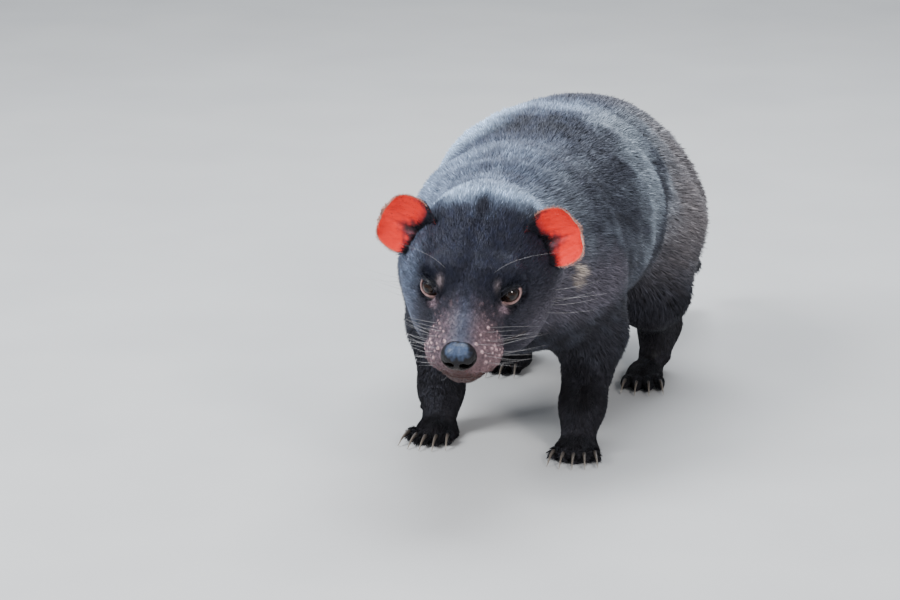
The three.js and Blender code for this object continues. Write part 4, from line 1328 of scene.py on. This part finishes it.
def whiskers():
    pieces = []
    for side in (1, -1):
        for place, size in zip(BUMPS, BUMP_SIZES):
            if size < 0.8 or rng.random() < 0.38:
                continue
            back = smooth(np.array([place[1]]), -112, -76)[0]
            way = unit(np.array([0.92, 0.05 + 0.55 * back, -0.12 + rng.normal(0, 0.10)]))
            size_here = rng.uniform(16, 28) + 34 * back * rng.uniform(0.6, 1)
            bend = np.array([-0.06, 0.24, -0.14 + rng.normal(0, 0.04)])
            start = place - way * 0.8
            pieces.append((start, way, bend, size_here, 0.105 + 0.03 * back, side))
        for z in (-30, -23, -35, -27, -18):
            start = beside_head([40, -14 + rng.uniform(-7, 7), z], unit(np.array([0.9, -0.4, 0])))
            way = unit(np.array([0.86, -0.22, 0.26 + rng.normal(0, 0.09)]))
            pieces.append((start, way, np.array([0.05, 0.30, -0.05]), rng.uniform(34, 52), 0.13, side))
        start = beside_head([20, -50, 14], unit(np.array([0, -0.5, 0.86])))
        way = unit(np.array([0.55, -0.05, 0.80 + rng.normal(0, 0.05)]))
        pieces.append((start, way, np.array([0.42, 0.12, -0.34]), 57 if side > 0 else 44, 0.09, side))
        for _ in range(6):
            under = [rng.uniform(4, 16), rng.uniform(-96, -74), -60]
            start = beside_head(under, unit(np.array([0.1, -0.3, -0.9])))
            way = unit(np.array([0.3, -0.2, -0.8]) + rng.normal(0, 0.15, 3))
            pieces.append((start, way, np.array([0.1, 0.4, 0.1]), rng.uniform(12, 20), 0.10, side))
    made = []
    for start, way, bend, size_here, radius, side in pieces:
        local = whisker(start, way, bend, size_here, radius)
        faces = local[1] if side > 0 else local[1][:, ::-1]
        made.append((from_head(mirrored(local[0], side)), faces, local[2]))
    return joined(made)


BRISTLE = Look("whisker_hair", Roughness=0.38)
bristle_stops = (0, (0.20, 0.18, 0.18)), (0.25, (0.50, 0.48, 0.48)), (1, (0.66, 0.64, 0.64))
BRISTLE.paint(BRISTLE.ramp(BRISTLE.attribute("along", "Fac"), *bristle_stops), BRISTLE.grain(400, 2.0, 0.7))

points, faces, shade = whiskers()
whisker_piece = mesh_object("whiskers", points, faces, BRISTLE, along=shade)

for made, slot in ((skin, "coat"), (nose, "nose_leather"), (whisker_piece, "coat")):
    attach(made, "root")
for made, node in zip(ears + eyes + [nose], ("left_ear", "right_ear", "left_eye", "right_eye", "nose")):
    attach(made, "root")
    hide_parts(node)
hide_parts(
    "head", "neck", "torso", "tail", *(leg.name + part for leg in LEGS for part in ("_leg", "_paw"))
)


# Studio: pale floor, soft light from the upper left, a cool rim from behind, and the photograph's view
FLOOR = Look("studio_floor", Roughness=0.7)
FLOOR.paint(FLOOR.ramp(FLOOR.noise(6, 2.0), (0.3, (0.56, 0.55, 0.54)), (0.7, (0.60, 0.59, 0.575))))

bpy.ops.mesh.primitive_plane_add(size=12, location=(0, 0, -0.0002))
floor = bpy.context.object
floor.name = "studio_floor"
floor.data.materials.append(FLOOR.material)

world = bpy.data.worlds.new("studio")
bpy.context.scene.world = world
world.use_nodes = True
sky = world.node_tree.nodes["Background"].inputs
sky["Color"].default_value = (0.80, 0.86, 0.95, 1)
sky["Strength"].default_value = 0.6

TARGET = (np.array([7, -250, 184]) + OFFSET) / PER_METRE


def area_light(name, place, size, power, colour):
    lamp = bpy.data.lights.new(name, "AREA")
    lamp.size = size
    lamp.energy = power
    lamp.color = colour
    made = bpy.data.objects.new(name, lamp)
    bpy.context.scene.collection.objects.link(made)
    made.location = place
    made.rotation_euler = Vector(TARGET - np.array(place)).to_track_quat("-Z", "Y").to_euler()


area_light("key", (-1.5, -1.4, 1.9), 1.2, 92, (0.92, 0.96, 1.0))
area_light("top", (0.0, 0.9, 2.1), 1.4, 64, (0.88, 0.94, 1.0))
area_light("fill", (1.5, -1.9, 1.45), 0.5, 30, (1.0, 0.98, 0.97))

AZIMUTH, ELEVATION, DISTANCE = math.radians(12.5), math.radians(15), 3.2
level = math.cos(ELEVATION)
back = np.array([math.sin(AZIMUTH) * level, -math.cos(AZIMUTH) * level, math.sin(ELEVATION)])
lens = bpy.data.cameras.new("camera")
lens.sensor_width, lens.lens = 36, 151.04
lens.shift_x, lens.shift_y = -0.0233, -0.0067
camera = bpy.data.objects.new("camera", lens)
bpy.context.scene.collection.objects.link(camera)
camera.location = TARGET + back * DISTANCE
camera.rotation_euler = Vector(back).to_track_quat("Z", "Y").to_euler()
bpy.context.scene.camera = camera
